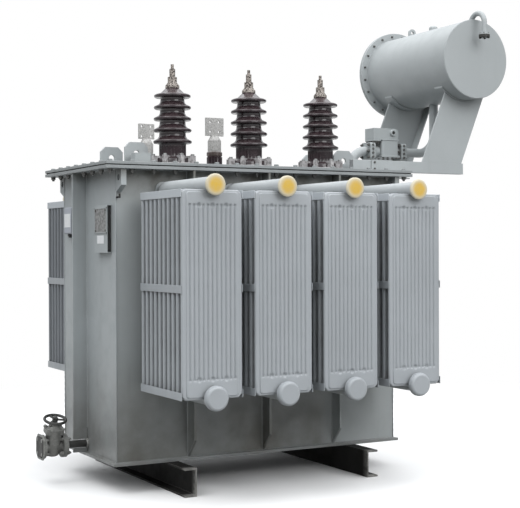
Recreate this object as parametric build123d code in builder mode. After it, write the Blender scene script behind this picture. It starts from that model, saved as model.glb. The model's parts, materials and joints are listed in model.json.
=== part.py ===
"""Oil-filled power transformer with eight panel radiators and a conservator.

Units are millimetres.  X runs along the tank towards the conservator, -Y is the front
with the drain valve to the left, Z is up.  The origin is on the floor, under the middle
of the whole machine.
"""
import os
from math import cos, radians, sin, sqrt

from build123d import *

os.makedirs("parts", exist_ok=True)

# Tank
tank_length = 1868.0
tank_width = 842.0
wall_height = 1661.0
wall_thickness = 8.0
base_thickness = 16.0
base_lip = 25.0
flange_reach = 93.0
flange_thickness = 18.0
gasket_thickness = 6.0
gasket_setback = 6.0
cover_thickness = 16.0

# Stiffening bars on the tank walls
side_bar_spread = 56.4
side_bar_depth = 90.0
side_bar_thickness = 14.0
side_bar_slope = 104.0
end_bar_depth = 88.0
end_bar_foot = 160.0
end_bar_offset = 43.0

# Skids under the tank
skid_height = 160.0
skid_flange = 74.0
skid_web = 9.0
skid_flange_thickness = 11.0
skid_gauge = 1130.0
skid_overhang = 265.0

# Lifting lugs under the tank flange and on the cover
tank_lug_inset = 16.0
tank_lug_thickness = 32.0
tank_lug_reach = 80.0
tank_lug_tip = 92.0
tank_lug_drop = 130.0
tank_lug_hole = 34.0
cover_lug_from_end = 220.0
cover_lug_from_side = 228.0
cover_lug_width = 144.0
cover_lug_height = 136.0
cover_lug_thickness = 16.0
cover_lug_hole = 36.0
cover_lug_hole_height = 70.0
cover_lug_chamfer = 30.0

# Panel radiators
radiators_per_side = 4
radiator_end_gap = 108.0
radiator_gap = 78.6
panels_per_radiator = 10
panel_thickness = 22.0
first_panel_gap = 100.0
panel_stack_depth = 538.0
panel_top_drop = 24.0
panel_bottom_drop = 8.0
field_margin = 24.0
field_end_margin = 12.0
field_rise = 5.0
field_corner = 16.0
groove_count = 11
groove_margin = 21.5
groove_depth = 5.0
groove_top_drop = 77.0
groove_bottom_rise = 106.0
strap_thickness = 4.0
strap_height = 42.0
strap_middle_height = 1003.0
seat_clearance = 0.3

# Header pipes of the radiators and their caps
header_top_height = 1548.0
header_bottom_height = 433.0
header_diameter = 89.0
header_neck_diameter = 52.0
header_collar_diameter = 92.0
header_collar_thickness = 12.0
header_shoulder_start = 24.0
header_shoulder_end = 66.0
header_cap_gap = 26.0
vent_cap_diameter = 115.0
vent_cap_thickness = 18.0
end_cap_diameter = 134.0
end_cap_face_diameter = 104.0
end_cap_rim = 14.0
end_cap_thickness = 34.0
round_steps = 4

# Conservator
conservator_overhang = 642.0
conservator_height = 2447.0
conservator_radius = 255.0
conservator_length = 918.0
conservator_wall = 6.0
conservator_flange_radius = 303.0
conservator_flange_thickness = 14.0
eye_offset = 248.0
eye_width = 56.0
eye_height = 50.0
eye_thickness = 14.0
eye_round = 26.0
eye_hole = 22.0
plug_diameter = 58.0
plug_height = 32.0
plug_chamfer = 10.0
breather_from_front = 54.0
breather_rise = -31.0
breather_diameter = 34.0
breather_bend = 70.0
breather_drop = 96.0
breather_flange_diameter = 70.0
breather_flange_thickness = 25.0

# Beams, legs and saddles that carry the conservator
beam_height = 72.0
beam_flange = 45.0
beam_web = 7.0
beam_inside = 99.0
beam_overhang = 631.0
beam_from_front = 85.0
beam_from_rear = 115.0
leg_thickness = 8.0
leg_foot_left = 296.0
leg_foot_right = 617.0
leg_head_left = 570.0
leg_head_right = 895.0
leg_flange = 70.0
saddle_thickness = 8.0
saddle_width = 84.0
saddle_half_span = 188.0

# Gas relay and its pipe
relay_pipe_diameter = 60.0
relay_height = 159.0
relay_pipe_inside = 40.0
relay_bend = 120.0
relay_start = 84.0
relay_flange_side = 112.0
relay_flange_corner = 20.0
relay_flange_thickness = 20.0
relay_flange_gap = 2.0
relay_length = 291.0
relay_neck_diameter = 74.0
relay_body_start = 91.0
relay_body_length = 134.0
relay_body_width = 116.0
relay_body_below = 41.0
relay_body_above = 78.0
relay_head_overhang = 62.0
relay_head_length = 196.0
relay_head_width = 106.0
relay_head_height = 74.0
relay_edge = 16.0
riser_bend = 130.0

# High voltage bushings
hv_count = 3
hv_from_wall = 168.0
hv_from_end = 426.0
hv_foot_radius = 100.0
hv_foot_height = 44.0
hv_body_radius = 79.0
hv_body_taper = 10.0
hv_shed_radius = 113.0
hv_shed_taper = 6.0
hv_shed_count = 5
hv_first_shed = 146.0
hv_shed_pitch = 67.0
hv_shed_edge = 7.0
hv_shed_slope = 20.0
hv_porcelain_height = 456.0
hv_neck_radius = 34.0
hv_cap_height = 64.0
hv_cap_brim_radius = 41.0
hv_cap_brim_height = 14.0
hv_cap_radius = 27.0
hv_nut_height = 48.0
hv_nut_radius = 17.0
hv_stud_height = 27.0
hv_stud_radius = 9.0
hv_ring_radius = 140.0
hv_ring_thickness = 14.0
hv_clamp_count = 8
hv_clamp_width = 22.0
hv_clamp_height = 56.0
hv_clamp_overlap = 16.0

# Low voltage bushings
lv_count = 4
lv_from_wall = 192.0
lv_from_end = 467.0
lv_neutral_gap = 205.0
lv_pitch = 269.0
lv_foot_radius = 58.0
lv_foot_height = 18.0
lv_body_radius = 48.0
lv_waist_radius = 40.0
lv_metal_radius = 43.0
lv_neck_radius = 24.0
lv_porcelain_height = 134.0
lv_metal_height = 70.0
lv_neck_height = 32.0
lv_flag_width = 126.0
lv_flag_height = 116.0
lv_flag_thickness = 14.0
lv_flag_hole = 15.0
lv_flag_hole_spacing = 62.0
neutral_porcelain_height = 96.0
neutral_flag_width = 104.0
neutral_flag_height = 94.0

# Drain valve on the left end wall
drain_height = 66.0
drain_pipe_diameter = 76.0
drain_pipe_length = 135.0
drain_flange_diameter = 140.0
drain_flange_thickness = 14.0
drain_lean_angle = 18.0
drain_body_length = 133.0
drain_body_radius = 46.0
drain_body_depth = 54.0
drain_body_round = 18.0
drain_neck_radius = 38.0
drain_bonnet_length = 112.0
drain_bonnet_width = 82.0
drain_bonnet_corner = 20.0
drain_bonnet_height = 88.0
drain_bonnet_thickness = 26.0
drain_gland_radius = 22.0
drain_gland_height = 146.0
drain_blind_side = 146.0
drain_blind_thickness = 14.0
drain_blind_corner = 30.0
stem_diameter = 16.0
stem_depth = 24.0
stem_clearance = 0.5
wheel_gap = 13.0
wheel_diameter = 139.0
wheel_rim = 17.0
wheel_hub_diameter = 34.0
wheel_hub_height = 20.0
wheel_spoke_width = 12.0
wheel_spoke_height = 8.0
wheel_spokes = 3
wheel_spoke_angle = -15.0
wheel_nut_diameter = 24.0
wheel_nut_height = 9.0

# Plates and box on the left end wall
plate_from_front = 64.0
plate_width = 186.0
plate_height = 270.0
plate_level = 1192.0
plate_standoff = 27.0
plate_thickness = 4.0
nameplate_thickness = 2.0
nameplate_margin = 14.0
nameplate_height = 146.0
box_from_rear = 74.0
box_width = 128.0
box_height = 162.0
box_depth = 54.0
box_level = 1305.0
box_corner = 8.0

# Pocket for a thermometer, on the cover before the lug at the left
pocket_from_end = 162.0
pocket_from_front = 110.0
pocket_width = 104.0
pocket_depth = 60.0
pocket_height = 66.0
pocket_corner = 8.0

# Levels and places that follow from the sizes above
base_level = skid_height
wall_level = base_level + base_thickness
flange_top = wall_level + wall_height
cover_level = flange_top + gasket_thickness
cover_top = cover_level + cover_thickness
drain_reach = drain_pipe_length + drain_flange_thickness + drain_body_length + drain_blind_thickness
left_reach = tank_length / 2 + drain_reach
right_reach = tank_length / 2 + conservator_overhang + conservator_flange_radius
tank_x = (left_reach - right_reach) / 2
left_wall_x = tank_x - tank_length / 2
right_wall_x = tank_x + tank_length / 2
front_wall_y = -tank_width / 2
rear_wall_y = tank_width / 2
conservator_x = right_wall_x + conservator_overhang
conservator_z = base_level + conservator_height
header_radius = header_diameter / 2
header_levels = (base_level + header_top_height, base_level + header_bottom_height)
stack_start = tank_width / 2 + first_panel_gap
stack_end = stack_start + panel_stack_depth
panel_pitch = (panel_stack_depth - field_rise - panel_thickness) / (panels_per_radiator - 1)
panel_top = base_level + header_top_height - panel_top_drop
panel_bottom = base_level + header_bottom_height - panel_bottom_drop
panel_face = stack_end - field_rise
panel_height = panel_top - panel_bottom
radiator_pitch = (tank_length - 2 * radiator_end_gap + radiator_gap) / radiators_per_side
panel_width = radiator_pitch - radiator_gap
first_radiator = left_wall_x + radiator_end_gap + panel_width / 2
radiator_places = [first_radiator + i * radiator_pitch for i in range(radiators_per_side)]
sides = {"front": -1, "rear": 1}


def save(piece, name):
    """Label a finished piece and write it to its own file."""
    piece.part.label = name
    export_step(piece.part, f"parts/{name}.step")


def block(x_range, y_range, z_range, mode=Mode.ADD):
    """A box between two limits on each axis, added to the part in hand."""
    lengths = [high - low for low, high in (sorted(x_range), sorted(y_range), sorted(z_range))]
    with Locations((min(x_range), min(y_range), min(z_range))):
        Box(*lengths, align=(Align.MIN, Align.MIN, Align.MIN), mode=mode)


def turn(origin, axis, outline, mode=Mode.ADD):
    """A solid of revolution from (radius, distance along the axis) points."""
    along = Vector(*axis)
    outward = Vector(1, 0, 0) if abs(along.Z) > abs(along.X) + abs(along.Y) else Vector(0, 0, 1)
    with BuildSketch(Plane(origin=origin, x_dir=outward, z_dir=outward.cross(along))) as section:
        with BuildLine():
            Polyline(*outline, close=True)
        make_face()
    revolve(section.sketch, axis=Axis(origin, axis), mode=mode)


def plate(plane, outline, thickness, mode=Mode.ADD):
    """A flat plate with a polygon outline on the plane, its thickness centred on it."""
    with BuildSketch(plane) as section:
        with BuildLine():
            Polyline(*outline, close=True)
        make_face()
    extrude(section.sketch, amount=thickness / 2, both=True, mode=mode)


def rounded(outer, inner, start, end):
    """Points of a quarter round from an outer radius at the start to an inner one at the end."""
    turns = [radians(90 * i / round_steps) for i in range(round_steps + 1)]
    return [(inner + (outer - inner) * cos(a), start + (end - start) * sin(a)) for a in turns]


# Tank shell
with BuildPart() as base_plate:
    block(
        (left_wall_x - base_lip, right_wall_x + base_lip),
        (front_wall_y - base_lip, rear_wall_y + base_lip),
        (base_level, wall_level),
    )
save(base_plate, "base_plate")

for side, sign in sides.items():
    with BuildPart() as side_wall:
        outer = sign * tank_width / 2
        block((left_wall_x, right_wall_x), (outer, outer - sign * wall_thickness), (wall_level, flange_top))
    save(side_wall, f"{side}_wall")

inner_half_width = tank_width / 2 - wall_thickness
for end, outer, sign in (("left", left_wall_x, -1), ("right", right_wall_x, 1)):
    with BuildPart() as end_wall:
        block(
            (outer, outer - sign * wall_thickness),
            (-inner_half_width, inner_half_width),
            (wall_level, flange_top),
        )
    save(end_wall, f"{end}_end_wall")


def frame_ring(reach, low, high):
    """A flat rectangular ring round the tank's mouth."""
    block(
        (left_wall_x - reach, right_wall_x + reach),
        (front_wall_y - reach, rear_wall_y + reach),
        (low, high),
    )
    block((left_wall_x, right_wall_x), (front_wall_y, rear_wall_y), (low, high), mode=Mode.SUBTRACT)


with BuildPart() as tank_flange:
    frame_ring(flange_reach, flange_top - flange_thickness, flange_top)
save(tank_flange, "tank_flange")

with BuildPart() as cover_gasket:
    frame_ring(flange_reach - gasket_setback, flange_top, cover_level)
save(cover_gasket, "cover_gasket")

with BuildPart() as cover_plate:
    block(
        (left_wall_x - flange_reach, right_wall_x + flange_reach),
        (front_wall_y - flange_reach, rear_wall_y + flange_reach),
        (cover_level, cover_top),
    )
save(cover_plate, "cover_plate")

# Stiffening bars: flat bars on edge, each with a sloping foot, between the radiators
bar_top = flange_top - flange_thickness
side_bar_count = radiators_per_side - 1
side_bar_pitch = radiator_pitch + side_bar_spread
for side, sign in sides.items():
    with BuildPart() as side_bars:
        root = sign * tank_width / 2
        tip = root + sign * side_bar_depth
        for i in range(side_bar_count):
            x = tank_x + (i - (side_bar_count - 1) / 2) * side_bar_pitch
            slope_top = wall_level + side_bar_slope
            outline = [(root, wall_level), (tip, slope_top), (tip, bar_top), (root, bar_top)]
            plate(Plane(origin=(x, 0, 0), x_dir=(0, 1, 0), z_dir=(1, 0, 0)), outline, side_bar_thickness)
    save(side_bars, f"{side}_wall_stiffeners")

with BuildPart() as end_bars:
    for root, sign in ((left_wall_x, -1), (right_wall_x, 1)):
        block(
            (root, root + sign * end_bar_depth),
            (end_bar_offset - side_bar_thickness / 2, end_bar_offset + side_bar_thickness / 2),
            (base_level + end_bar_foot, bar_top),
        )
save(end_bars, "end_wall_stiffeners")

# Skids: channels laid across the tank, their open sides facing outwards
for name, sign in (("left", -1), ("right", 1)):
    with BuildPart() as skid:
        web = tank_x + sign * skid_gauge / 2
        reach_y = tank_width / 2 + skid_overhang
        block((web, web + sign * skid_flange), (-reach_y, reach_y), (0, skid_height))
        block(
            (web + sign * skid_web, web + sign * skid_flange),
            (-reach_y, reach_y),
            (skid_flange_thickness, skid_height - skid_flange_thickness),
            mode=Mode.SUBTRACT,
        )
    save(skid, f"skid_{name}")

# Lifting lugs
with BuildPart() as tank_lugs:
    for sign_y in sides.values():
        root = sign_y * tank_width / 2
        tip = root + sign_y * tank_lug_reach
        hole_y = root + sign_y * tank_lug_reach / 2
        hole_z = bar_top - tank_lug_tip / 2
        for x in (left_wall_x + tank_lug_inset, right_wall_x - tank_lug_inset):
            lug_plane = Plane(origin=(x, 0, 0), x_dir=(0, 1, 0), z_dir=(1, 0, 0))
            low = bar_top - tank_lug_drop
            outline = [(root, low), (tip, bar_top - tank_lug_tip), (tip, bar_top), (root, bar_top)]
            plate(lug_plane, outline, tank_lug_thickness)
            with BuildSketch(lug_plane) as lug_hole:
                with Locations((hole_y, hole_z)):
                    Circle(tank_lug_hole / 2)
            extrude(lug_hole.sketch, amount=tank_lug_thickness, both=True, mode=Mode.SUBTRACT)
save(tank_lugs, "tank_lifting_lugs")

with BuildPart() as cover_lugs:
    for sign_y in sides.values():
        lug_y = sign_y * (tank_width / 2 - cover_lug_from_side)
        lug_plane = Plane(origin=(tank_x, lug_y, cover_top), x_dir=(1, 0, 0), z_dir=(0, -1, 0))
        lug_reach = tank_length / 2 - cover_lug_from_end
        with BuildSketch(lug_plane) as lug_face:
            with Locations((-lug_reach, 0), (lug_reach, 0)):
                Rectangle(cover_lug_width, cover_lug_height, align=(Align.CENTER, Align.MIN))
            chamfer(lug_face.vertices().group_by(Axis.Y)[-1], cover_lug_chamfer)
            with Locations((-lug_reach, cover_lug_hole_height), (lug_reach, cover_lug_hole_height)):
                Circle(cover_lug_hole / 2, mode=Mode.SUBTRACT)
        extrude(lug_face.sketch, amount=cover_lug_thickness / 2, both=True)
save(cover_lugs, "cover_lifting_lugs")

# Radiators: thick panels with round edges, the outermost with a raised field pressed into grooves
field_width = panel_width - 2 * field_margin
groove_pitch = (field_width - 2 * groove_margin) / (groove_count - 1)
groove_length = panel_height - groove_bottom_rise - groove_top_drop
for side, sign in sides.items():
    for number, x in enumerate(radiator_places, start=1):
        outward = (0, sign, 0)
        upright = (-sign, 0, 0)
        with BuildPart() as panels:
            first_row = stack_start + panel_thickness / 2
            rows = [sign * (first_row + i * panel_pitch) for i in range(panels_per_radiator)]
            with BuildSketch(Plane.XY.offset(panel_bottom)) as sections:
                with Locations(*[(x, y) for y in rows]):
                    SlotOverall(panel_width, panel_thickness)
            extrude(sections.sketch, amount=panel_height)
            field_plane = Plane(origin=(x, sign * panel_face, panel_bottom), x_dir=upright, z_dir=outward)
            with BuildSketch(field_plane) as field:
                with Locations((0, field_end_margin)):
                    field_height = panel_height - 2 * field_end_margin
                    Rectangle(field_width, field_height, align=(Align.CENTER, Align.MIN))
                chamfer(field.vertices(), field_corner)
            extrude(field.sketch, amount=field_rise)
            with BuildSketch(Plane.XY.offset(panel_bottom + groove_bottom_rise)) as grooves:
                with Locations((x, sign * stack_end)):
                    with GridLocations(groove_pitch, 0, groove_count, 1):
                        Rectangle(sqrt(2) * groove_depth, sqrt(2) * groove_depth, rotation=45)
            extrude(grooves.sketch, amount=groove_length, mode=Mode.SUBTRACT)
            for level in header_levels:
                seat_plane = Plane(origin=(x, sign * stack_start, level), x_dir=upright, z_dir=outward)
                with BuildSketch(seat_plane) as seat:
                    Circle(header_radius + seat_clearance)
                extrude(seat.sketch, amount=panel_stack_depth, mode=Mode.SUBTRACT)
        save(panels, f"radiator_{side}_{number}")

for side, sign in sides.items():
    with BuildPart() as headers:
        neck_radius = header_neck_diameter / 2
        collar_radius = header_collar_diameter / 2
        pipe_end = first_panel_gap + panel_stack_depth + header_cap_gap
        shoulder = rounded(header_radius, neck_radius, header_shoulder_end, header_shoulder_start)
        header_outline = [
            (0, 0),
            (collar_radius, 0),
            (collar_radius, header_collar_thickness),
            (neck_radius, header_collar_thickness),
            *reversed(shoulder),
            (header_radius, pipe_end),
            (0, pipe_end),
        ]
        for x in radiator_places:
            for level in header_levels:
                turn((x, sign * tank_width / 2, level), (0, sign, 0), header_outline)
    save(headers, f"{side}_header_pipes")

for side, sign in sides.items():
    with BuildPart() as straps:
        strap_levels = (
            panel_top - strap_height / 2,
            base_level + strap_middle_height,
            panel_bottom + strap_height / 2,
        )
        for x in radiator_places:
            for edge in (-1, 1):
                inner = x + edge * panel_width / 2
                for level in strap_levels:
                    block(
                        (inner, inner + edge * strap_thickness),
                        (sign * stack_start, sign * panel_face),
                        (level - strap_height / 2, level + strap_height / 2),
                    )
    save(straps, f"{side}_radiator_straps")

cap_seat = tank_width / 2 + first_panel_gap + panel_stack_depth + header_cap_gap
with BuildPart() as vent_caps:
    cap_radius = vent_cap_diameter / 2
    rim = vent_cap_thickness / 2
    for sign in sides.values():
        for x in radiator_places:
            cap_face = [(cap_radius - rim, vent_cap_thickness), (0, vent_cap_thickness)]
            cap_outline = [(0, 0), (cap_radius, 0), (cap_radius, rim), *cap_face]
            turn((x, sign * cap_seat, header_levels[0]), (0, sign, 0), cap_outline)
save(vent_caps, "header_vent_caps")

with BuildPart() as end_caps:
    cap_radius = end_cap_diameter / 2
    dome = rounded(cap_radius, end_cap_face_diameter / 2, end_cap_rim, end_cap_thickness)
    cap_outline = [(0, 0), (cap_radius, 0), *dome, (0, end_cap_thickness)]
    for sign in sides.values():
        for x in radiator_places:
            turn((x, sign * cap_seat, header_levels[1]), (0, sign, 0), cap_outline)
save(end_caps, "header_end_caps")

# Conservator: a drum lying across the tank, its rear end bolted on
drum_front = -conservator_length / 2
drum_rear = conservator_length / 2
drum_inner = conservator_radius - conservator_wall
drum_axis = (0, 1, 0)
with BuildPart() as shell:
    drum_length = conservator_length - conservator_wall - 2 * conservator_flange_thickness
    turn(
        (conservator_x, drum_front + conservator_wall, conservator_z),
        drum_axis,
        [
            (drum_inner, 0),
            (conservator_radius, 0),
            (conservator_radius, drum_length),
            (drum_inner, drum_length),
        ],
    )
save(shell, "conservator_shell")

with BuildPart() as front_end:
    turn(
        (conservator_x, drum_front, conservator_z),
        drum_axis,
        [(0, 0), (conservator_radius, 0), (conservator_radius, conservator_wall), (0, conservator_wall)],
    )
save(front_end, "conservator_front_end")

with BuildPart() as rear_flange:
    turn(
        (conservator_x, drum_rear - 2 * conservator_flange_thickness, conservator_z),
        drum_axis,
        [
            (drum_inner, 0),
            (conservator_flange_radius, 0),
            (conservator_flange_radius, conservator_flange_thickness),
            (drum_inner, conservator_flange_thickness),
        ],
    )
save(rear_flange, "conservator_rear_flange")

with BuildPart() as rear_cover:
    turn(
        (conservator_x, drum_rear - conservator_flange_thickness, conservator_z),
        drum_axis,
        [
            (0, 0),
            (conservator_flange_radius, 0),
            (conservator_flange_radius, conservator_flange_thickness),
            (0, conservator_flange_thickness),
        ],
    )
save(rear_cover, "conservator_rear_cover")

drum_crown = conservator_z + conservator_radius


def clear_of_drum(radius):
    """Cut away what reaches into the drum's seat of the given radius."""
    drum_plane = Plane(origin=(conservator_x, 0, conservator_z), x_dir=(1, 0, 0), z_dir=(0, -1, 0))
    with BuildSketch(drum_plane) as seat:
        Circle(radius)
    extrude(seat.sketch, amount=conservator_length / 2, both=True, mode=Mode.SUBTRACT)


with BuildPart() as fittings:
    eye_plane = Plane(origin=(conservator_x, eye_offset, conservator_z), x_dir=(1, 0, 0), z_dir=(0, -1, 0))
    with BuildSketch(eye_plane) as eye_face:
        Rectangle(eye_width, conservator_radius + eye_height, align=(Align.CENTER, Align.MIN))
        fillet(eye_face.vertices().group_by(Axis.Y)[-1], eye_round)
        with Locations((0, conservator_radius + eye_height - eye_round)):
            Circle(eye_hole / 2, mode=Mode.SUBTRACT)
    extrude(eye_face.sketch, amount=eye_thickness / 2, both=True)
    plug_radius = plug_diameter / 2
    plug_top = conservator_radius + plug_height
    plug_outline = [
        (0, 0),
        (plug_radius, 0),
        (plug_radius, plug_top - plug_chamfer),
        (plug_radius - plug_chamfer, plug_top),
        (0, plug_top),
    ]
    turn((conservator_x, 0, conservator_z), (0, 0, 1), plug_outline)
    clear_of_drum(conservator_radius + seat_clearance)
save(fittings, "conservator_fittings")

with BuildPart() as breather:
    breather_offset = drum_front + breather_from_front
    bend_level = drum_crown + breather_rise
    far_leg = breather_offset - 2 * breather_bend
    end_level = bend_level - breather_drop
    breather_foot = (conservator_x, breather_offset, conservator_z)
    with BuildLine() as breather_path:
        rise = Line(breather_foot, (conservator_x, breather_offset, bend_level))
        bend = TangentArc(rise @ 1, (conservator_x, far_leg, bend_level), tangent=rise % 1)
        Line(bend @ 1, (conservator_x, far_leg, end_level))
    with BuildSketch(Plane(origin=breather_foot, z_dir=(0, 0, 1))) as bore:
        Circle(breather_diameter / 2)
    sweep(bore.sketch, path=breather_path.line)
    with Locations((conservator_x, far_leg, end_level)):
        Cylinder(
            breather_flange_diameter / 2,
            breather_flange_thickness,
            align=(Align.CENTER, Align.CENTER, Align.MIN),
        )
    clear_of_drum(conservator_radius + seat_clearance)
save(breather, "breather_pipe")

# Beams and legs under the conservator, one pair at the front and one at the rear
beam_top = cover_top + beam_height
beam_rows = {"front": front_wall_y + beam_from_front, "rear": rear_wall_y - beam_from_rear}
beam_span = (right_wall_x - beam_inside, right_wall_x + beam_overhang)
for side, sign in sides.items():
    with BuildPart() as beam:
        web = beam_rows[side]
        block(beam_span, (web, web - sign * beam_flange), (cover_top, beam_top))
        block(
            beam_span,
            (web - sign * beam_web, web - sign * beam_flange),
            (cover_top + beam_web, beam_top - beam_web),
            mode=Mode.SUBTRACT,
        )
    save(beam, f"conservator_beam_{side}")

saddle_outer = conservator_radius + seat_clearance + saddle_thickness
leg_seat = saddle_outer + seat_clearance
for side, sign in sides.items():
    with BuildPart() as leg:
        web_face = beam_rows[side]
        leg_plane = Plane(
            origin=(right_wall_x, web_face - sign * leg_thickness / 2, 0), x_dir=(1, 0, 0), z_dir=(0, -1, 0)
        )
        foot = [(leg_foot_left, beam_top), (leg_foot_right, beam_top)]
        head = [(leg_head_right, conservator_z), (leg_head_left, conservator_z)]
        plate(leg_plane, foot + head, leg_thickness)
        flange_plane = Plane(
            origin=(right_wall_x, web_face - sign * leg_flange / 2, 0), x_dir=(1, 0, 0), z_dir=(0, -1, 0)
        )
        flange_outline = [
            (leg_foot_right - leg_thickness, beam_top),
            (leg_foot_right, beam_top),
            (leg_head_right, conservator_z),
            (leg_head_right - leg_thickness, conservator_z),
        ]
        plate(flange_plane, flange_outline, leg_flange)
        clear_of_drum(leg_seat)
    save(leg, f"conservator_leg_{side}")

with BuildPart() as saddles:
    for side, sign in sides.items():
        saddle_y = beam_rows[side] - sign * leg_flange / 2
        saddle_centre = (conservator_x, saddle_y, conservator_z)
        saddle_plane = Plane(origin=saddle_centre, x_dir=(1, 0, 0), z_dir=(0, -1, 0))
        with BuildSketch(saddle_plane) as saddle_face:
            Circle(saddle_outer)
            Circle(conservator_radius + seat_clearance, mode=Mode.SUBTRACT)
            saddle_low = sqrt(conservator_radius**2 - saddle_half_span**2)
            with Locations((0, -saddle_low)):
                Rectangle(
                    2 * saddle_half_span,
                    saddle_outer,
                    align=(Align.CENTER, Align.MAX),
                    mode=Mode.INTERSECT,
                )
        extrude(saddle_face.sketch, amount=saddle_width / 2, both=True)
save(saddles, "conservator_saddles")

# Gas relay in the pipe between the tank cover and the conservator
relay_z = cover_top + relay_height
relay_left = right_wall_x + relay_start
relay_right = relay_left + relay_length
with BuildPart() as cover_pipe:
    start_x = right_wall_x - relay_pipe_inside
    with BuildLine() as cover_pipe_path:
        rise = Line((start_x, 0, cover_top), (start_x, 0, relay_z - relay_bend))
        bend = TangentArc(rise @ 1, (start_x + relay_bend, 0, relay_z), tangent=rise % 1)
        Line(bend @ 1, (relay_left, 0, relay_z))
    with BuildSketch(Plane(origin=(start_x, 0, cover_top), z_dir=(0, 0, 1))) as bore:
        Circle(relay_pipe_diameter / 2)
    sweep(bore.sketch, path=cover_pipe_path.line)
save(cover_pipe, "relay_cover_pipe")

with BuildPart() as riser_pipe:
    with BuildLine() as riser_path:
        run = Line((relay_right, 0, relay_z), (conservator_x - riser_bend, 0, relay_z))
        bend = TangentArc(run @ 1, (conservator_x, 0, relay_z + riser_bend), tangent=run % 1)
        Line(bend @ 1, (conservator_x, 0, conservator_z))
    with BuildSketch(Plane(origin=(relay_right, 0, relay_z), z_dir=(1, 0, 0))) as bore:
        Circle(relay_pipe_diameter / 2)
    sweep(bore.sketch, path=riser_path.line)
    clear_of_drum(conservator_radius + seat_clearance)
save(riser_pipe, "relay_riser_pipe")

relay_body_middle = relay_left + relay_body_start + relay_body_length / 2
head_level = relay_z + relay_body_above
flange_pair = 2 * relay_flange_thickness + relay_flange_gap
with BuildPart() as relay_body:
    flange_starts = (
        relay_left,
        relay_left + flange_pair - relay_flange_thickness,
        relay_right - flange_pair,
        relay_right - relay_flange_thickness,
    )
    for x in flange_starts:
        flange_plane = Plane(origin=(x, 0, relay_z), x_dir=(0, 1, 0), z_dir=(1, 0, 0))
        with BuildSketch(flange_plane) as flange_face:
            RectangleRounded(relay_flange_side, relay_flange_side, relay_flange_corner)
        extrude(flange_face.sketch, amount=relay_flange_thickness)
    with BuildSketch(Plane(origin=(relay_left, 0, relay_z), x_dir=(0, 1, 0), z_dir=(1, 0, 0))) as neck:
        Circle(relay_neck_diameter / 2)
    extrude(neck.sketch, amount=relay_length)
    with BuildSketch(Plane.XY.offset(relay_z - relay_body_below)) as casting:
        with Locations((relay_body_middle, 0)):
            RectangleRounded(relay_body_length, relay_body_width, relay_edge)
    extrude(casting.sketch, amount=relay_body_below + relay_body_above)
save(relay_body, "relay_body")

with BuildPart() as relay_head:
    head_left = relay_left + relay_body_start - relay_head_overhang
    block(
        (head_left, head_left + relay_head_length),
        (-relay_head_width / 2, relay_head_width / 2),
        (head_level, head_level + relay_head_height),
    )
    chamfer(relay_head.edges().filter_by(Axis.Y).group_by(Axis.Z)[-1].sort_by(Axis.X)[-1:], relay_edge)
save(relay_head, "relay_head")

# High voltage bushings along the front of the cover
hv_row = front_wall_y + hv_from_wall
hv_first = left_wall_x + hv_from_end
hv_pitch = (tank_length - 2 * hv_from_end) / (hv_count - 1)
hv_places = [(hv_first + i * hv_pitch, hv_row, cover_top) for i in range(hv_count)]
hv_sheds = []
for i in range(hv_shed_count):
    shed_level = hv_first_shed + i * hv_shed_pitch
    rise_share = i / (hv_shed_count - 1)
    body_radius = hv_body_radius - rise_share * hv_body_taper
    shed_radius = hv_shed_radius - rise_share * hv_shed_taper
    hv_sheds += [
        (body_radius, shed_level - hv_shed_edge),
        (shed_radius, shed_level - hv_shed_edge),
        (shed_radius, shed_level),
        (body_radius, shed_level + hv_shed_slope),
    ]
hv_outline = [
    (0, 0),
    (hv_foot_radius, 0),
    (hv_foot_radius, hv_foot_height),
    (hv_body_radius, hv_foot_height),
    *hv_sheds[:-1],
    (hv_neck_radius, hv_porcelain_height),
    (0, hv_porcelain_height),
]
for number, place in enumerate(hv_places, start=1):
    with BuildPart() as hv_porcelain:
        turn(place, (0, 0, 1), hv_outline)
    save(hv_porcelain, f"hv_bushing_{number}")

with BuildPart() as hv_clamps:
    clamp_inner = hv_foot_radius - hv_clamp_overlap
    clamp_outer = hv_ring_radius
    ring_bore = hv_foot_radius + seat_clearance
    clamp_foot = hv_foot_height
    for place in hv_places:
        turn(
            place,
            (0, 0, 1),
            [
                (ring_bore, 0),
                (clamp_outer, 0),
                (clamp_outer, hv_ring_thickness),
                (ring_bore, hv_ring_thickness),
            ],
        )
        with Locations(place):
            with PolarLocations(0, hv_clamp_count):
                with Locations((ring_bore, 0, 0)):
                    Box(
                        clamp_outer - ring_bore,
                        hv_clamp_width,
                        hv_clamp_height,
                        align=(Align.MIN, Align.CENTER, Align.MIN),
                    )
                with Locations((clamp_inner, 0, clamp_foot)):
                    Box(
                        clamp_outer - clamp_inner,
                        hv_clamp_width,
                        hv_clamp_height - clamp_foot,
                        align=(Align.MIN, Align.CENTER, Align.MIN),
                    )
save(hv_clamps, "hv_clamp_rings")

with BuildPart() as hv_terminals:
    cap_top = hv_cap_height
    nut_top = cap_top + hv_nut_height
    stud_top = nut_top + hv_stud_height
    terminal_outline = [
        (0, 0),
        (hv_cap_brim_radius, 0),
        (hv_cap_brim_radius, hv_cap_brim_height),
        (hv_cap_radius, cap_top / 2),
        (hv_cap_radius, cap_top),
        (hv_nut_radius, cap_top),
        (hv_nut_radius, nut_top),
        (hv_stud_radius, nut_top),
        (hv_stud_radius, stud_top),
        (0, stud_top),
    ]
    for x, y, z in hv_places:
        turn((x, y, z + hv_porcelain_height), (0, 0, 1), terminal_outline)
save(hv_terminals, "hv_terminals")

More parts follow.
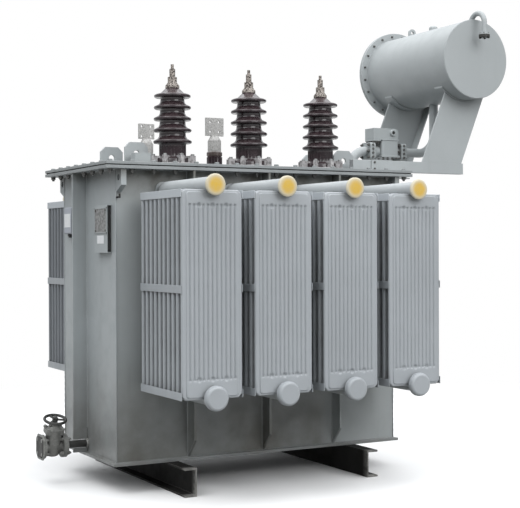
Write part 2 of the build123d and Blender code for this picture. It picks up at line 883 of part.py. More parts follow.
# Low voltage bushings along the rear of the cover, the first one the smaller neutral
lv_sizes = [(neutral_porcelain_height, neutral_flag_width, neutral_flag_height)]
lv_sizes += [(lv_porcelain_height, lv_flag_width, lv_flag_height)] * (lv_count - 1)
lv_row = rear_wall_y - lv_from_wall
lv_first = left_wall_x + lv_from_end
lv_places = [lv_first] + [lv_first + lv_neutral_gap + i * lv_pitch for i in range(lv_count - 1)]
with BuildPart() as lv_porcelains:
    for x, (porcelain_height, _, _) in zip(lv_places, lv_sizes):
        skirt = (porcelain_height - lv_foot_height) / 4
        turn(
            (x, lv_row, cover_top),
            (0, 0, 1),
            [
                (0, 0),
                (lv_foot_radius, 0),
                (lv_foot_radius, lv_foot_height),
                (lv_body_radius, lv_foot_height),
                (lv_body_radius, lv_foot_height + 2 * skirt),
                (lv_waist_radius, lv_foot_height + 2 * skirt),
                (lv_waist_radius, lv_foot_height + 3 * skirt),
                (lv_body_radius, lv_foot_height + 3 * skirt),
                (lv_body_radius, porcelain_height),
                (0, porcelain_height),
            ],
        )
save(lv_porcelains, "lv_bushings")

with BuildPart() as lv_terminals:
    flag_foot = lv_metal_height + lv_neck_height
    for x, (porcelain_height, flag_width, flag_height) in zip(lv_places, lv_sizes):
        seat = cover_top + porcelain_height
        turn(
            (x, lv_row, seat),
            (0, 0, 1),
            [
                (0, 0),
                (lv_metal_radius, 0),
                (lv_metal_radius, lv_metal_height),
                (lv_neck_radius, flag_foot),
                (0, flag_foot),
            ],
        )
        flag_plane = Plane(origin=(x, lv_row, seat + flag_foot), x_dir=(1, 0, 0), z_dir=(0, -1, 0))
        with BuildSketch(flag_plane) as flag:
            Rectangle(flag_width, flag_height, align=(Align.CENTER, Align.MIN))
            with Locations((0, flag_height / 2)):
                with GridLocations(lv_flag_hole_spacing, lv_flag_hole_spacing, 2, 2):
                    Circle(lv_flag_hole / 2, mode=Mode.SUBTRACT)
        extrude(flag.sketch, amount=lv_flag_thickness / 2, both=True)
save(lv_terminals, "lv_terminals")

# Drain valve on the left end wall
drain_y = end_bar_offset
drain_z = base_level + drain_height
drain_axis = (-1, 0, 0)
pipe_radius = drain_pipe_diameter / 2
flange_radius = drain_flange_diameter / 2
with BuildPart() as drain_stub:
    stub_end = drain_pipe_length + drain_flange_thickness
    turn(
        (left_wall_x, drain_y, drain_z),
        drain_axis,
        [
            (0, 0),
            (pipe_radius, 0),
            (pipe_radius, drain_pipe_length),
            (flange_radius, drain_pipe_length),
            (flange_radius, stub_end),
            (0, stub_end),
        ],
    )
save(drain_stub, "drain_stub_pipe")

valve_left = left_wall_x - stub_end
valve_x = valve_left - drain_body_length / 2
valve_centre = Vector(valve_x, drain_y, drain_z)
stem_axis = Vector(0, -sin(radians(drain_lean_angle)), cos(radians(drain_lean_angle)))


def across_stem(distance):
    """Plane square to the valve's stem, at a distance along it from the middle of the pipe."""
    return Plane(origin=valve_centre + stem_axis * distance, x_dir=(1, 0, 0), z_dir=stem_axis)


bonnet_top = drain_bonnet_height + drain_bonnet_thickness
with BuildPart() as valve_body:
    turn(
        (valve_left, drain_y, drain_z),
        drain_axis,
        [
            (0, 0),
            (flange_radius, 0),
            (flange_radius, drain_flange_thickness),
            (drain_neck_radius, drain_flange_thickness),
            (drain_neck_radius, drain_body_length - drain_flange_thickness),
            (flange_radius, drain_body_length - drain_flange_thickness),
            (flange_radius, drain_body_length),
            (0, drain_body_length),
        ],
    )
    bottom_radius = drain_body_radius - drain_body_round
    round_level = drain_body_round - drain_body_depth
    bottom_round = rounded(drain_body_radius, bottom_radius, round_level, -drain_body_depth)
    turn(
        valve_centre,
        stem_axis,
        [
            (0, -drain_body_depth),
            *reversed(bottom_round),
            (drain_body_radius, bonnet_top),
            (drain_gland_radius, (bonnet_top + drain_gland_height) / 2),
            (drain_gland_radius, drain_gland_height),
            (0, drain_gland_height),
        ],
    )
    with BuildSketch(across_stem(drain_bonnet_height)) as bonnet:
        RectangleRounded(drain_bonnet_length, drain_bonnet_width, drain_bonnet_corner)
    extrude(bonnet.sketch, amount=drain_bonnet_thickness)
    with Locations(across_stem(drain_gland_height)):
        Cylinder(
            stem_diameter / 2 + stem_clearance,
            stem_depth,
            align=(Align.CENTER, Align.CENTER, Align.MAX),
            mode=Mode.SUBTRACT,
        )
save(valve_body, "drain_valve_body")

with BuildPart() as blind:
    blind_seat = (valve_left - drain_body_length, drain_y, drain_z)
    blind_plane = Plane(origin=blind_seat, x_dir=(0, -1, 0), z_dir=drain_axis)
    with BuildSketch(blind_plane) as blind_face:
        Rectangle(drain_blind_side, drain_blind_side)
        chamfer(blind_face.vertices(), drain_blind_corner)
    extrude(blind_face.sketch, amount=drain_blind_thickness)
save(blind, "drain_blind_flange")

wheel_foot = drain_gland_height + wheel_gap
wheel_middle = wheel_foot + wheel_hub_height / 2
hub_radius = wheel_hub_diameter / 2
rim_radius = (wheel_diameter - wheel_rim) / 2
with BuildPart() as handwheel:
    hub_outline = [
        (stem_diameter / 2, wheel_foot),
        (hub_radius, wheel_foot),
        (hub_radius, wheel_foot + wheel_hub_height),
        (stem_diameter / 2, wheel_foot + wheel_hub_height),
    ]
    turn(valve_centre, stem_axis, hub_outline)
    wheel_centre = across_stem(wheel_middle).origin
    rim_plane = Plane(origin=wheel_centre, x_dir=(1, 0, 0), z_dir=Vector(1, 0, 0).cross(stem_axis))
    with BuildSketch(rim_plane) as rim:
        with Locations((rim_radius, 0)):
            Circle(wheel_rim / 2)
    revolve(rim.sketch, axis=Axis(wheel_centre, stem_axis))
    spoke_start = (hub_radius + stem_diameter / 2) / 2
    with Locations(across_stem(wheel_middle)):
        with PolarLocations(0, wheel_spokes, start_angle=wheel_spoke_angle):
            with Locations((spoke_start, 0, 0)):
                Box(
                    rim_radius - spoke_start,
                    wheel_spoke_width,
                    wheel_spoke_height,
                    align=(Align.MIN, Align.CENTER, Align.CENTER),
                )
save(handwheel, "drain_handwheel")

with BuildPart() as stem:
    stem_foot = drain_gland_height - stem_depth + stem_clearance
    stem_top = wheel_foot + wheel_hub_height
    with Locations(across_stem(stem_foot)):
        Cylinder(stem_diameter / 2, stem_top - stem_foot, align=(Align.CENTER, Align.CENTER, Align.MIN))
    with BuildSketch(across_stem(stem_top)) as nut:
        RegularPolygon(wheel_nut_diameter / 2, 6)
    extrude(nut.sketch, amount=wheel_nut_height)
save(stem, "drain_valve_stem")

# Plates and terminal box on the left end wall
with BuildPart() as bracket:
    near = front_wall_y + plate_from_front
    far = near + plate_width
    low = base_level + plate_level
    high = low + plate_height
    face = left_wall_x - plate_standoff
    block((face, face + plate_thickness), (near, far), (low, high))
    block((face, left_wall_x), (near, far), (high - plate_thickness, high))
    block((face, left_wall_x), (near, far), (low, low + plate_thickness))
save(bracket, "nameplate_bracket")

with BuildPart() as nameplate:
    block(
        (face - nameplate_thickness, face),
        (near + nameplate_margin, far - nameplate_margin),
        (high - nameplate_margin - nameplate_height, high - nameplate_margin),
    )
save(nameplate, "nameplate")

with BuildPart() as terminal_box:
    box_near = rear_wall_y - box_from_rear - box_width
    block(
        (left_wall_x - box_depth, left_wall_x),
        (box_near, box_near + box_width),
        (base_level + box_level, base_level + box_level + box_height),
    )
    fillet(terminal_box.edges().filter_by(Axis.X), box_corner)
save(terminal_box, "terminal_box")

with BuildPart() as pocket:
    pocket_left = left_wall_x + pocket_from_end
    pocket_near = front_wall_y + pocket_from_front
    block(
        (pocket_left, pocket_left + pocket_width),
        (pocket_near, pocket_near + pocket_depth),
        (cover_top, cover_top + pocket_height),
    )
    fillet(pocket.edges().filter_by(Axis.Z), pocket_corner)
save(pocket, "cover_pocket")
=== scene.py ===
import json
from math import cos, pi, radians, sin, sqrt

import bmesh
import bpy
from mathutils import Matrix, Vector


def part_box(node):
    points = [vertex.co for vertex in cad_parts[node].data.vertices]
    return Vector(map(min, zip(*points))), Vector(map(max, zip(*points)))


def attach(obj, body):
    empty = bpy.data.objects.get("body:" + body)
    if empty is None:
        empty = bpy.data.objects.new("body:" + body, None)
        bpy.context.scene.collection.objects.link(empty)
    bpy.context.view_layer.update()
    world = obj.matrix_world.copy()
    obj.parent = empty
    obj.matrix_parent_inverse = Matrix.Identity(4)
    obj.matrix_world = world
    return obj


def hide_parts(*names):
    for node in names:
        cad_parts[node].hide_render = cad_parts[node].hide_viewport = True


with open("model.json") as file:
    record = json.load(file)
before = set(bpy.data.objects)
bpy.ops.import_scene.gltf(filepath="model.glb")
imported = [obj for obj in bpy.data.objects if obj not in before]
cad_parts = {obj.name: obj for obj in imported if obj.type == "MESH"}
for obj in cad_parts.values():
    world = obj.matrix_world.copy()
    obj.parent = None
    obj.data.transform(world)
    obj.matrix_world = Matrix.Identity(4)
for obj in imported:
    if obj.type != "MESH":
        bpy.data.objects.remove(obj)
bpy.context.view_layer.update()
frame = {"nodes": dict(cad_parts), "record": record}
nodes = frame["nodes"]
scene = bpy.context.scene
fixed_body = "transformer"

# Camera, in the photograph's frame
image_width = 520
focal_pixels = 1211.7
sensor_width = 36.0
camera_place = Vector((-3.7992, -6.7350, 1.3781))
camera_yaw = radians(28.7)
camera_pitch = radians(-0.3)
camera_roll = radians(-0.2)
camera_limit = 200.0

# Tank, from the frame
wall_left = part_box("left_end_wall")[0].x
wall_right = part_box("right_end_wall")[1].x
wall_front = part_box("front_wall")[0].y
wall_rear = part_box("rear_wall")[1].y
wall_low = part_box("front_wall")[0].z
flange_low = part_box("tank_flange")[0]
cover_low, cover_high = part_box("cover_plate")
tank_x = (wall_left + wall_right) / 2
front_bars_low, front_bars_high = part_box("front_wall_stiffeners")
end_bars_low, end_bars_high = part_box("end_wall_stiffeners")
bar_thickness = end_bars_high.y - end_bars_low.y
bar_pitch = (front_bars_high.x - front_bars_low.x - bar_thickness) / 2
bar_places = [tank_x + i * bar_pitch for i in (-1, 0, 1)]
skid_end = -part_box("skid_left")[0].y
# How far the skids' ends are worn bare and painted light
skid_worn_lit_end = 0.060
strap_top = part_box("front_radiator_straps")[1].z

# Fasteners: width across the flats, then height of a head, a nut and a stud's end
bolt_m16 = (0.024, 0.010, 0.014, 0.009)
bolt_m12 = (0.019, 0.008, 0.011, 0.007)
bolt_m10 = (0.016, 0.0065, 0.009, 0.006)
bolt_m8 = (0.013, 0.0055, 0.007, 0.004)
bolt_m6 = (0.010, 0.004, 0.005, 0.003)
washer_reach = 0.62
washer_share = 1 / 9
cover_bolt_pitch = 0.130
cover_bolt_inset = 0.040
bolt_clearance = 0.034
beam_clearance = 0.020

# Weld beads
bead_radius = 0.005
drum_bead_radius = 0.0035
bead_step = 0.012
bead_sides = 6
bead_mean_share = 0.86
bead_ripple_share = 0.14
bead_ripple_turn = 2.1
bead_drift_share = 0.08
bead_drift_turn = 0.37

# Edges: bevel widths, the angles where shading breaks and the span of points that are joined
node_edge = 0.0018
plate_edge = 0.002
clamp_edge = 0.0015
case_edge = 0.003
cover_edge = 0.001
sheet_edge = 0.0006
bevel_angle = 40.0
smooth_angle = 32.0
panel_smooth_angle = 50.0
porcelain_smooth_angle = 60.0
joined_span = 0.00002

# Radiator panels
panel_count = 10
panel_thickness = 0.022
inner_panel_thickness = 0.026
panel_seam = 0.003
# Depth of the top band of the straps that is painted lighter, as painted light
strap_lit_band = 0.25
panel_end_round = 0.006
panel_corner = 0.022
field_margin = 0.024
field_end_margin = 0.012
field_rise = 0.005
field_slope = 0.003
groove_count = 11
groove_margin = 0.0215
groove_half_width = 0.0115
groove_depth = 0.0075
inner_groove_depth = 0.0030
groove_top_drop = 0.084
groove_bottom_rise = 0.106
groove_run_out = 0.005
dimple_radius = 0.010
wide_dimple_radius = 0.016
dimple_depth = 0.0095
wide_dimple_depth = 0.0120
dimple_floor_share = 0.30
wide_dimple_every = 3
roll_shares = (0.0, 0.12, 0.38, 0.70, 1.0)
end_round_shares = (0.0, 0.3, 1.0)
groove_shares = (0.0, 0.36, 1.0)
fine_groove_shares = (0.0, 0.16, 0.36, 0.64, 1.0)
dimple_shares = (-1.25, -1.0, -0.65, -0.30, 0.0, 0.30, 0.65, 1.0, 1.4)

# High voltage bushings
hv_foot_radius = 0.100
hv_foot_height = 0.044
hv_foot_round = 0.008
hv_body_radius = 0.079
hv_body_taper = 0.010
hv_shed_radius = 0.113
hv_shed_taper = 0.006
hv_shed_count = 5
hv_first_shed = 0.146
hv_shed_pitch = 0.067
hv_shed_edge = 0.012
hv_shed_slope = 0.020
hv_lip = 0.003
hv_fillet = 0.007
hv_height = 0.456
hv_neck_radius = 0.034
hv_rib_count = 26
hv_rib_depth = 0.0035
hv_rib_ends = 0.010
hv_clamp_count = 8
hv_stud_reach = 0.124
hv_clamp_height = 0.056
hv_shaft_steps = 6
hv_rib_steps = 6
hv_shed_root_share = 0.7
hv_hat_share = 0.6

# Low voltage bushings
lv_places = (-0.7915, -0.5865, -0.3175, -0.0485)
lv_heights = (0.096, 0.134, 0.134, 0.134)
lv_foot_radius = 0.058
lv_foot_height = 0.018
lv_body_radius = 0.0500
lv_collar_height = 0.030
lv_clamp_reach = 0.074
lv_clamp_size = (0.034, 0.026, 0.022)

# Vent caps, conservator, relay and beam
cap_rim = 0.008
cap_edge = 0.003
cap_crown = 0.0015
cap_face_shares = (0.75, 0.5, 0.25)
drum_bolt_count = 20
drum_bolt_inset = 0.024
relay_bolt_reach = 0.040
relay_flange_thickness = 0.020
relay_flange_gap = 0.002
relay_flange_side = 0.112
relay_body_start = 0.091
relay_body_length = 0.134
relay_body_below = 0.041
gland_place = (0.872, 2.1415)
gland_radius = 0.022
gland_bore = 0.012
gland_depth = 0.014
gland_shoulder_share = 0.7
gland_nose_share = 0.85
gland_floor_share = 0.4
plug_width_share = 0.95
plug_base_share = 0.45
plug_rim_share = 0.8
plug_dish_share = 0.7
base_bolt_shares = (0.1, 0.36, 0.64, 0.9)
lip_bolt_shares = (0.15, 0.45, 0.75)
lip_height = 0.012
splice_span = ((0.508, 1.862), (0.554, 1.931))
splice_thickness = 0.008
splice_bolt_shares = (0.2, 0.8)
beam_foot_length = 0.135
beam_foot_gap = 0.0004
seam_height = 0.006
seam_reach = 0.004
base_flange_height = 0.014
base_flange_reach = 0.007
breather_band = 0.0008
breather_depth = 0.018
breather_bore_share = 0.55
breather_bolt_share = 0.74

# Drain valve
valve_bolt_reach = 0.05715
blind_plate = 0.008
blind_corner = 0.030
# Thickness of the near-black plate on the blind, painted shade standing for a recess
shade_plate_thickness = 0.004
blind_rim = 0.013
blind_bolt = (0.021, 0.006)
bonnet_bolts = (0.045, 0.030)
bonnet_drop = 0.055
gland_bolt_reach = 0.0256
gland_bolt_top = 0.030
gland_nut_level = 0.0165
drain_flange_thickness = 0.014
drain_pipe_radius = 0.021
collar_radius = 0.031
collar_thickness = 0.010
collar_shoulder_share = 0.6
collar_nose_share = 0.85
bar_foot_notch = (0.200, 0.254)
bar_foot_web = 0.012

# Plates, box and hook on the left end wall
label_span = ((-0.306, 1.404), (-0.206, 1.450))
box_label_inset = (0.012, 0.040)
box_depth = 0.025
label_thickness = 0.0012
frame_width = 0.006
frame_depth = 0.003
rivet_inset = 0.016
# Setback and sink of the dark pad that stands as painted shade in the nameplate bracket's gap
shade_pad_setback = 0.010
shade_pad_sink = 0.004
lid_depth = 0.006
lid_inset = 0.005
box_gland_radius = 0.016
box_gland_drop = 0.022
box_gland_shoulder_share = 0.6
box_gland_neck_share = 0.7
hook_level = 1.657
hook_reach = 0.050
hook_bar = 0.010
hook_tip_height = 0.025


class Mesh:
    """Points and faces gathered for one piece."""

    def __init__(self):
        self.points = []
        self.faces = []

    def add(self, points, faces):
        first = len(self.points)
        self.points.extend(points)
        self.faces.extend([first + i for i in face] for face in faces)

    def lathe(self, place, axis, profile, sides=32, radius_at=None):
        """A turned form from (radius, distance along the axis) points."""
        across, up, along = basis(axis)
        points = []
        rows = []
        for radius, distance in profile:
            centre = Vector(place) + along * distance
            if radius == 0:
                rows.append([len(points)] * sides)
                points.append(centre)
                continue
            rows.append(range(len(points), len(points) + sides))
            for angle in turns(sides):
                reach = radius_at(radius, distance, angle) if radius_at else radius
                points.append(centre + (across * cos(angle) + up * sin(angle)) * reach)
        faces = []
        for row, after in zip(rows, rows[1:]):
            for i in range(sides):
                j = (i + 1) % sides
                corners = [row[i], row[j], after[j], after[i]]
                faces.append(list(dict.fromkeys(corners)))
        self.add(points, [face for face in faces if len(face) > 2])

    def prism(self, place, across, up, outline, thickness):
        """A flat plate with a polygon outline, its thickness centred on its plane."""
        across = Vector(across)
        up = Vector(up)
        half = across.cross(up) * thickness / 2
        flat = [Vector(place) + across * u + up * v for u, v in outline]
        count = len(flat)
        ends = [list(range(count))[::-1], list(range(count, 2 * count))]
        sides = [[i, (i + 1) % count, (i + 1) % count + count, i + count] for i in range(count)]
        self.add([p - half for p in flat] + [p + half for p in flat], ends + sides)

    def box(self, low, high):
        """A box between two corners."""
        width, depth, height = (b - a for a, b in zip(low, high))
        outline = [(0, 0), (width, 0), (width, height), (0, height)]
        self.prism((low[0], low[1] + depth / 2, low[2]), (1, 0, 0), (0, 0, 1), outline, depth)

    def hexagon(self, place, axis, across_flats, height):
        """A hexagonal head or nut with a chamfered top."""
        radius = across_flats / 2 / cos(pi / 6)
        edge = across_flats / 10
        shoulder = [(radius, 0), (radius, height - edge), (radius - edge, height)]
        self.lathe(place, axis, [(0, 0), *shoulder, (0, height)], 6)

    def washer(self, place, axis, across_flats):
        """A plain washer, and the height that it takes up."""
        radius = across_flats * washer_reach
        height = across_flats * washer_share
        self.lathe(place, axis, [(0, 0), (radius, 0), (radius, height), (0, height)], 16)
        return height

    def bolt(self, place, axis, size):
        """A washer with a bolt's head on it."""
        across_flats, head, _, _ = size
        lift = self.washer(place, axis, across_flats)
        self.hexagon(Vector(place) + Vector(axis) * lift, axis, across_flats, head)

    def nut(self, place, axis, size):
        """A washer, a nut and the rounded end of a stud."""
        across_flats, _, height, stud = size
        lift = self.washer(place, axis, across_flats)
        seat = Vector(place) + Vector(axis) * lift
        self.hexagon(seat, axis, across_flats, height)
        radius = across_flats / 3
        top = height + stud
        edge = radius / 4
        self.lathe(seat, axis, [(radius, height), (radius, top - edge), (radius - edge, top), (0, top)], 12)

    def bead(self, path, radius, closed=False):
        """A rippled weld bead along a run of straight stretches."""
        corners = [Vector(p) for p in path]
        if closed:
            corners.append(corners[0])
        for start, end in zip(corners, corners[1:]):
            across, up, _ = basis(end - start)
            count = max(2, round((end - start).length / bead_step))
            points = []
            for i in range(count + 1):
                ripple = bead_ripple_share * sin(bead_ripple_turn * i)
                drift = bead_drift_share * sin(bead_drift_turn * i)
                reach = radius * (bead_mean_share + ripple + drift)
                middle = start.lerp(end, i / count)
                points += [middle + (across * cos(a) + up * sin(a)) * reach for a in turns(bead_sides)]
            faces = []
            for first in range(0, count * bead_sides, bead_sides):
                for k in range(bead_sides):
                    after = (k + 1) % bead_sides
                    row = [first + k, first + after]
                    faces.append(row + [i + bead_sides for i in reversed(row)])
            faces.append(list(range(bead_sides))[::-1])
            faces.append(list(range(count * bead_sides, (count + 1) * bead_sides)))
            self.add(points, faces)


def turns(count, first=0.0):
    """Evenly spaced angles round a circle."""
    return [first + 2 * pi * i / count for i in range(count)]


def basis(axis):
    """Two unit vectors square to an axis, and the axis itself."""
    nearly_upright = 0.9
    along = Vector(axis).normalized()
    guide = Vector((0, 0, 1)) if abs(along.z) < nearly_upright else Vector((1, 0, 0))
    across = guide.cross(along).normalized()
    return across, along.cross(across), along


def middle_of(name):
    """The middle of a node's box."""
    low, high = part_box(name)
    return (low + high) / 2


def piece(name, mesh, material, stands_for=(), angle=smooth_angle, soften=0.0):
    """Turn a gathered mesh into an object that rides on the fixed body."""
    data = bpy.data.meshes.new(name)
    data.from_pydata(mesh.points, [], mesh.faces)
    shape = bmesh.new()
    shape.from_mesh(data)
    bmesh.ops.recalc_face_normals(shape, faces=shape.faces)
    shape.to_mesh(data)
    shape.free()
    data.shade_smooth()
    data.set_sharp_from_angle(angle=radians(angle))
    data.materials.append(material)
    made = bpy.data.objects.new(name, data)
    scene.collection.objects.link(made)
    if soften:
        round_edges(made, soften)
    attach(made, fixed_body)
    if stands_for:
        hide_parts(*stands_for)
    return made


def round_edges(made, width):
    """Soften an object's sharp edges without disturbing its flat faces."""
    soften = made.modifiers.new("soften", "BEVEL")
    soften.width = width
    soften.segments = 2
    soften.limit_method = "ANGLE"
    soften.angle_limit = radians(bevel_angle)
    even = made.modifiers.new("even", "WEIGHTED_NORMAL")
    even.keep_sharp = True


class Shader:
    """A material's node tree, with a short call for each kind of node it needs."""

    def __init__(self, name):
        self.material = bpy.data.materials.new(name)
        self.material.use_nodes = True
        self.tree = self.material.node_tree
        self.surface = self.tree.nodes["Principled BSDF"]
        self.spot = self.node("TexCoord").outputs["Object"]

    def node(self, kind, values=None, **settings):
        made = self.tree.nodes.new("ShaderNode" + kind)
        for key, value in settings.items():
            setattr(made, key, value)
        for socket, value in (values or {}).items():
            self.put(made.inputs[socket], value)
        return made

    def put(self, socket, value):
        if isinstance(value, bpy.types.NodeSocket):
            self.tree.links.new(value, socket)
        else:
            socket.default_value = value

    def finish(self, **values):
        for name, value in values.items():
            self.put(self.surface.inputs[name.replace("_", " ")], value)
        return self.material

    def place(self, axis):
        """Distance from the origin along one axis, in metres."""
        return self.node("SeparateXYZ", {"Vector": self.spot}).outputs[axis]

    def height(self):
        """Height above the floor, in metres."""
        return self.place("Z")

    def upward(self):
        """1 on a face that looks up, 0 on an upright one."""
        facing = self.node("NewGeometry").outputs["Normal"]
        return self.node("SeparateXYZ", {"Vector": facing}).outputs["Z"]

    def noise(self, scale, detail=3.0, stretch=(1.0, 1.0, 1.0), rough=0.55):
        place = self.spot
        if stretch != (1.0, 1.0, 1.0):
            place = self.node("Mapping", {"Vector": place, "Scale": stretch}).outputs["Vector"]
        values = {"Vector": place, "Scale": scale, "Detail": detail, "Roughness": rough}
        return self.node("TexNoise", values).outputs["Fac"]

    def ramp(self, value, low, high, to_low=0.0, to_high=1.0):
        values = {"Value": value, 1: low, 2: high, 3: to_low, 4: to_high}
        return self.node("MapRange", values, interpolation_type="SMOOTHSTEP").outputs["Result"]

    def times(self, first, second):
        return self.node("Math", {0: first, 1: second}, operation="MULTIPLY").outputs["Value"]

    def less(self, first, second):
        return self.node("Math", {0: first, 1: second}, operation="SUBTRACT").outputs["Value"]

    def most(self, first, second):
        return self.node("Math", {0: first, 1: second}, operation="MAXIMUM").outputs["Value"]

    def mix(self, share, first, second):
        values = {"Fac": share, "Color1": first, "Color2": second}
        return self.node("MixRGB", values).outputs["Color"]

    def occlusion(self, distance):
        """1 in a tight corner, 0 in the open."""
        made = self.node("AmbientOcclusion", {"Distance": distance}, samples=6)
        return self.less(1.0, made.outputs["AO"])

    def edges(self, radius):
        """1 along sharp edges, 0 on the flat."""
        rounded = self.node("Bevel", {"Radius": radius}, samples=4).outputs["Normal"]
        flat = self.node("NewGeometry").outputs["Normal"]
        dot = self.node("VectorMath", {0: rounded, 1: flat}, operation="DOT_PRODUCT").outputs["Value"]
        return self.ramp(self.less(1.0, dot), 0.01, 0.16)

    def bump(self, height, strength, distance, under=None):
        values = {"Height": height, "Strength": strength, "Distance": distance}
        if under:
            values["Normal"] = under
        return self.node("Bump", values).outputs["Normal"]


def tone(colour, share=1.0):
    """A colour as the four numbers that a socket takes, lightened or darkened by a share."""
    return (*(min(1.0, c * share) for c in colour), 1.0)


def paint(name, colour, dirt_and_shade=(0.100, 0.092, 0.078), streaks=0.30, grime_and_shade=0.6, wear_and_highlight=0.3, rough=0.45,
          foot=0.0, flange_shadow=0.0, flange_shadow_depth=0.08, dust=0.0, gleam=0.5, bare=None, lit_above=None,
          lit_from=None, worn_lit_ends=None):
    """Sprayed paint on steel: cloudy tone, soft dirt runs, grime together with painted shade in corners, and
    pale edges that are both worn and a painted highlight.

    foot darkens the walls low down with dirt splashed up from the floor together with painted shade under the
    radiators; a second share paints shadow in a band under the tank's flange; dust lies on upper faces; above
    a given height the paint is painted lighter as painted light; along a given stretch of X the low darkening
    fades where more light reaches; and over a given stretch of Y the ends are worn bare and painted light.
    """
    # Heights where the low darkening, dirt together with painted shade, begins and is full; the share of it
    # left where more light reaches; and the blend into the painted light above a height
    low_darkening_top = 0.95
    low_darkening_full = 0.18
    lit_share = 0.12
    lit_blend = 0.02
    s = Shader(name)
    broad = s.ramp(s.noise(1.3, 2.0), 0.3, 0.7)
    cloud = s.ramp(s.noise(9.0, 5.0), 0.35, 0.75)
    speck = s.ramp(s.noise(120.0, 2.0), 0.64, 0.74)
    runs = s.ramp(s.noise(1.0, 3.0, (11.0, 11.0, 0.7)), 0.50, 0.82)
    patches = s.ramp(s.noise(2.2, 3.0), 0.35, 0.7)
    shade = s.mix(broad, tone(colour, 0.94), tone(colour, 1.05))
    shade = s.mix(s.times(cloud, 0.35), shade, tone(colour, 0.90))
    shade = s.mix(s.times(speck, 0.12), shade, tone(colour, 0.65))
    shade = s.mix(s.times(s.times(runs, patches), streaks), shade, tone(dirt_and_shade))
    # Painted light: above a given height the paint is lighter, where the top of the straps catches the light
    if lit_above:
        shade = s.mix(s.ramp(s.height(), lit_above - lit_blend, lit_above), shade, tone(colour, 1.38))
    # Darker low on the walls: dirt splashed up from the floor together with painted shade under the
    # radiators, fading along a stretch of X where more light reaches
    if foot:
        ragged = s.ramp(s.noise(4.0, 5.0), 0.25, 0.75, 0.55, 1.0)
        low_darkening = s.times(s.ramp(s.height(), low_darkening_top, low_darkening_full), ragged)
        if lit_from:
            low_darkening = s.times(low_darkening, s.ramp(s.place("X"), *lit_from, 1.0, lit_share))
        shade = s.mix(s.times(low_darkening, foot), shade, tone(dirt_and_shade))
    # Painted shadow: a dark band on the walls just under the tank's flange
    if flange_shadow:
        above = s.ramp(s.height(), cover_low.z, flange_low.z)
        band = s.times(s.ramp(s.height(), flange_low.z - flange_shadow_depth, flange_low.z), above)
        band = s.times(band, s.ramp(cloud, 0.0, 1.0, 0.7, 1.0))
        shade = s.mix(s.times(band, flange_shadow), shade, tone(dirt_and_shade))
    if dust:
        spots = s.times(s.ramp(s.upward(), 0.5, 0.9), s.ramp(s.noise(60.0, 4.0), 0.40, 0.62))
        shade = s.mix(s.times(spots, dust), shade, tone(dirt_and_shade, 1.2))
    # Grime together with painted shade in corners, from ambient occlusion
    corner = s.times(s.ramp(s.occlusion(0.10), 0.30, 0.95), s.ramp(cloud, 0.0, 1.0, 0.5, 1.0))
    shade = s.mix(s.times(corner, grime_and_shade), shade, tone(dirt_and_shade, 0.8))
    # Pale edges: worn paint together with a painted highlight
    rim = s.times(s.edges(0.004), s.ramp(cloud, 0.0, 1.0, 0.4, 1.0))
    shade = s.mix(s.times(rim, wear_and_highlight), shade, tone(bare or colour, 1.35))
    # Ends worn bare and painted light, paler where the end faces catch the light
    if worn_lit_ends:
        end = s.node("Math", {0: s.place("Y")}, operation="ABSOLUTE").outputs["Value"]
        worn_lit_end_mask = s.times(s.ramp(end, *worn_lit_ends), s.ramp(s.noise(30.0, 4.0), 0.25, 0.65, 0.35, 1.0))
        shade = s.mix(worn_lit_end_mask, shade, tone(bare))
    gloss = s.ramp(cloud, 0.0, 1.0, rough - 0.06, rough + 0.12)
    peel = s.bump(s.noise(330.0, 2.0), 0.10, 0.0006)
    wave = s.bump(s.noise(5.0, 1.0), 0.25, 0.004, peel)
    return s.finish(Base_Color=shade, Roughness=gloss, Normal=wave, Specular_IOR_Level=gleam)


def glazed(name, colour):
    """Glazed porcelain: deep colour with slow drifts, dust together with a painted highlight on upper faces,
    and a clear coat.
    """
    s = Shader(name)
    drift = s.ramp(s.noise(14.0, 4.0), 0.3, 0.7)
    shade = s.mix(drift, tone(colour, 0.75), tone(colour, 1.40))
    # Upper faces paler: dust together with a painted highlight
    dust = s.times(s.ramp(s.upward(), 0.2, 0.9), s.ramp(s.noise(45.0, 4.0), 0.35, 0.75, 0.15, 0.55))
    shade = s.mix(dust, shade, tone((0.135, 0.112, 0.115)))
    gloss = s.ramp(s.noise(25.0, 3.0), 0.3, 0.8, 0.12, 0.30)
    ripple = s.bump(s.noise(60.0, 2.0), 0.12, 0.0015)
    return s.finish(Base_Color=shade, Roughness=gloss, Normal=ripple, Coat_Weight=0.25, Coat_Roughness=0.08)


def cast(name, colour, rough=0.62, soot_and_shade=0.65):
    """Rough casting, painted or bare: grainy surface with soot together with painted shade in the corners."""
    s = Shader(name)
    cloud = s.ramp(s.noise(24.0, 5.0), 0.3, 0.75)
    grit = s.ramp(s.noise(140.0, 4.0), 0.42, 0.66)
    shade = s.mix(cloud, tone(colour, 0.70), tone(colour, 1.25))
    shade = s.mix(s.times(grit, 0.35), shade, tone(colour, 0.45))
    # Soot together with painted shade in the corners, from ambient occlusion
    corner = s.times(s.ramp(s.occlusion(0.04), 0.25, 0.9), soot_and_shade)
    shade = s.mix(corner, shade, tone((0.020, 0.019, 0.017)))
    rim = s.times(s.edges(0.003), 0.40)
    shade = s.mix(rim, shade, tone(colour, 2.0))
    gloss = s.ramp(cloud, 0.0, 1.0, rough - 0.12, rough + 0.1)
    grain = s.bump(s.noise(260.0, 3.0), 0.35, 0.0012)
    lumps = s.bump(s.noise(45.0, 2.0), 0.30, 0.002, grain)
    return s.finish(Base_Color=shade, Roughness=gloss, Normal=lumps)


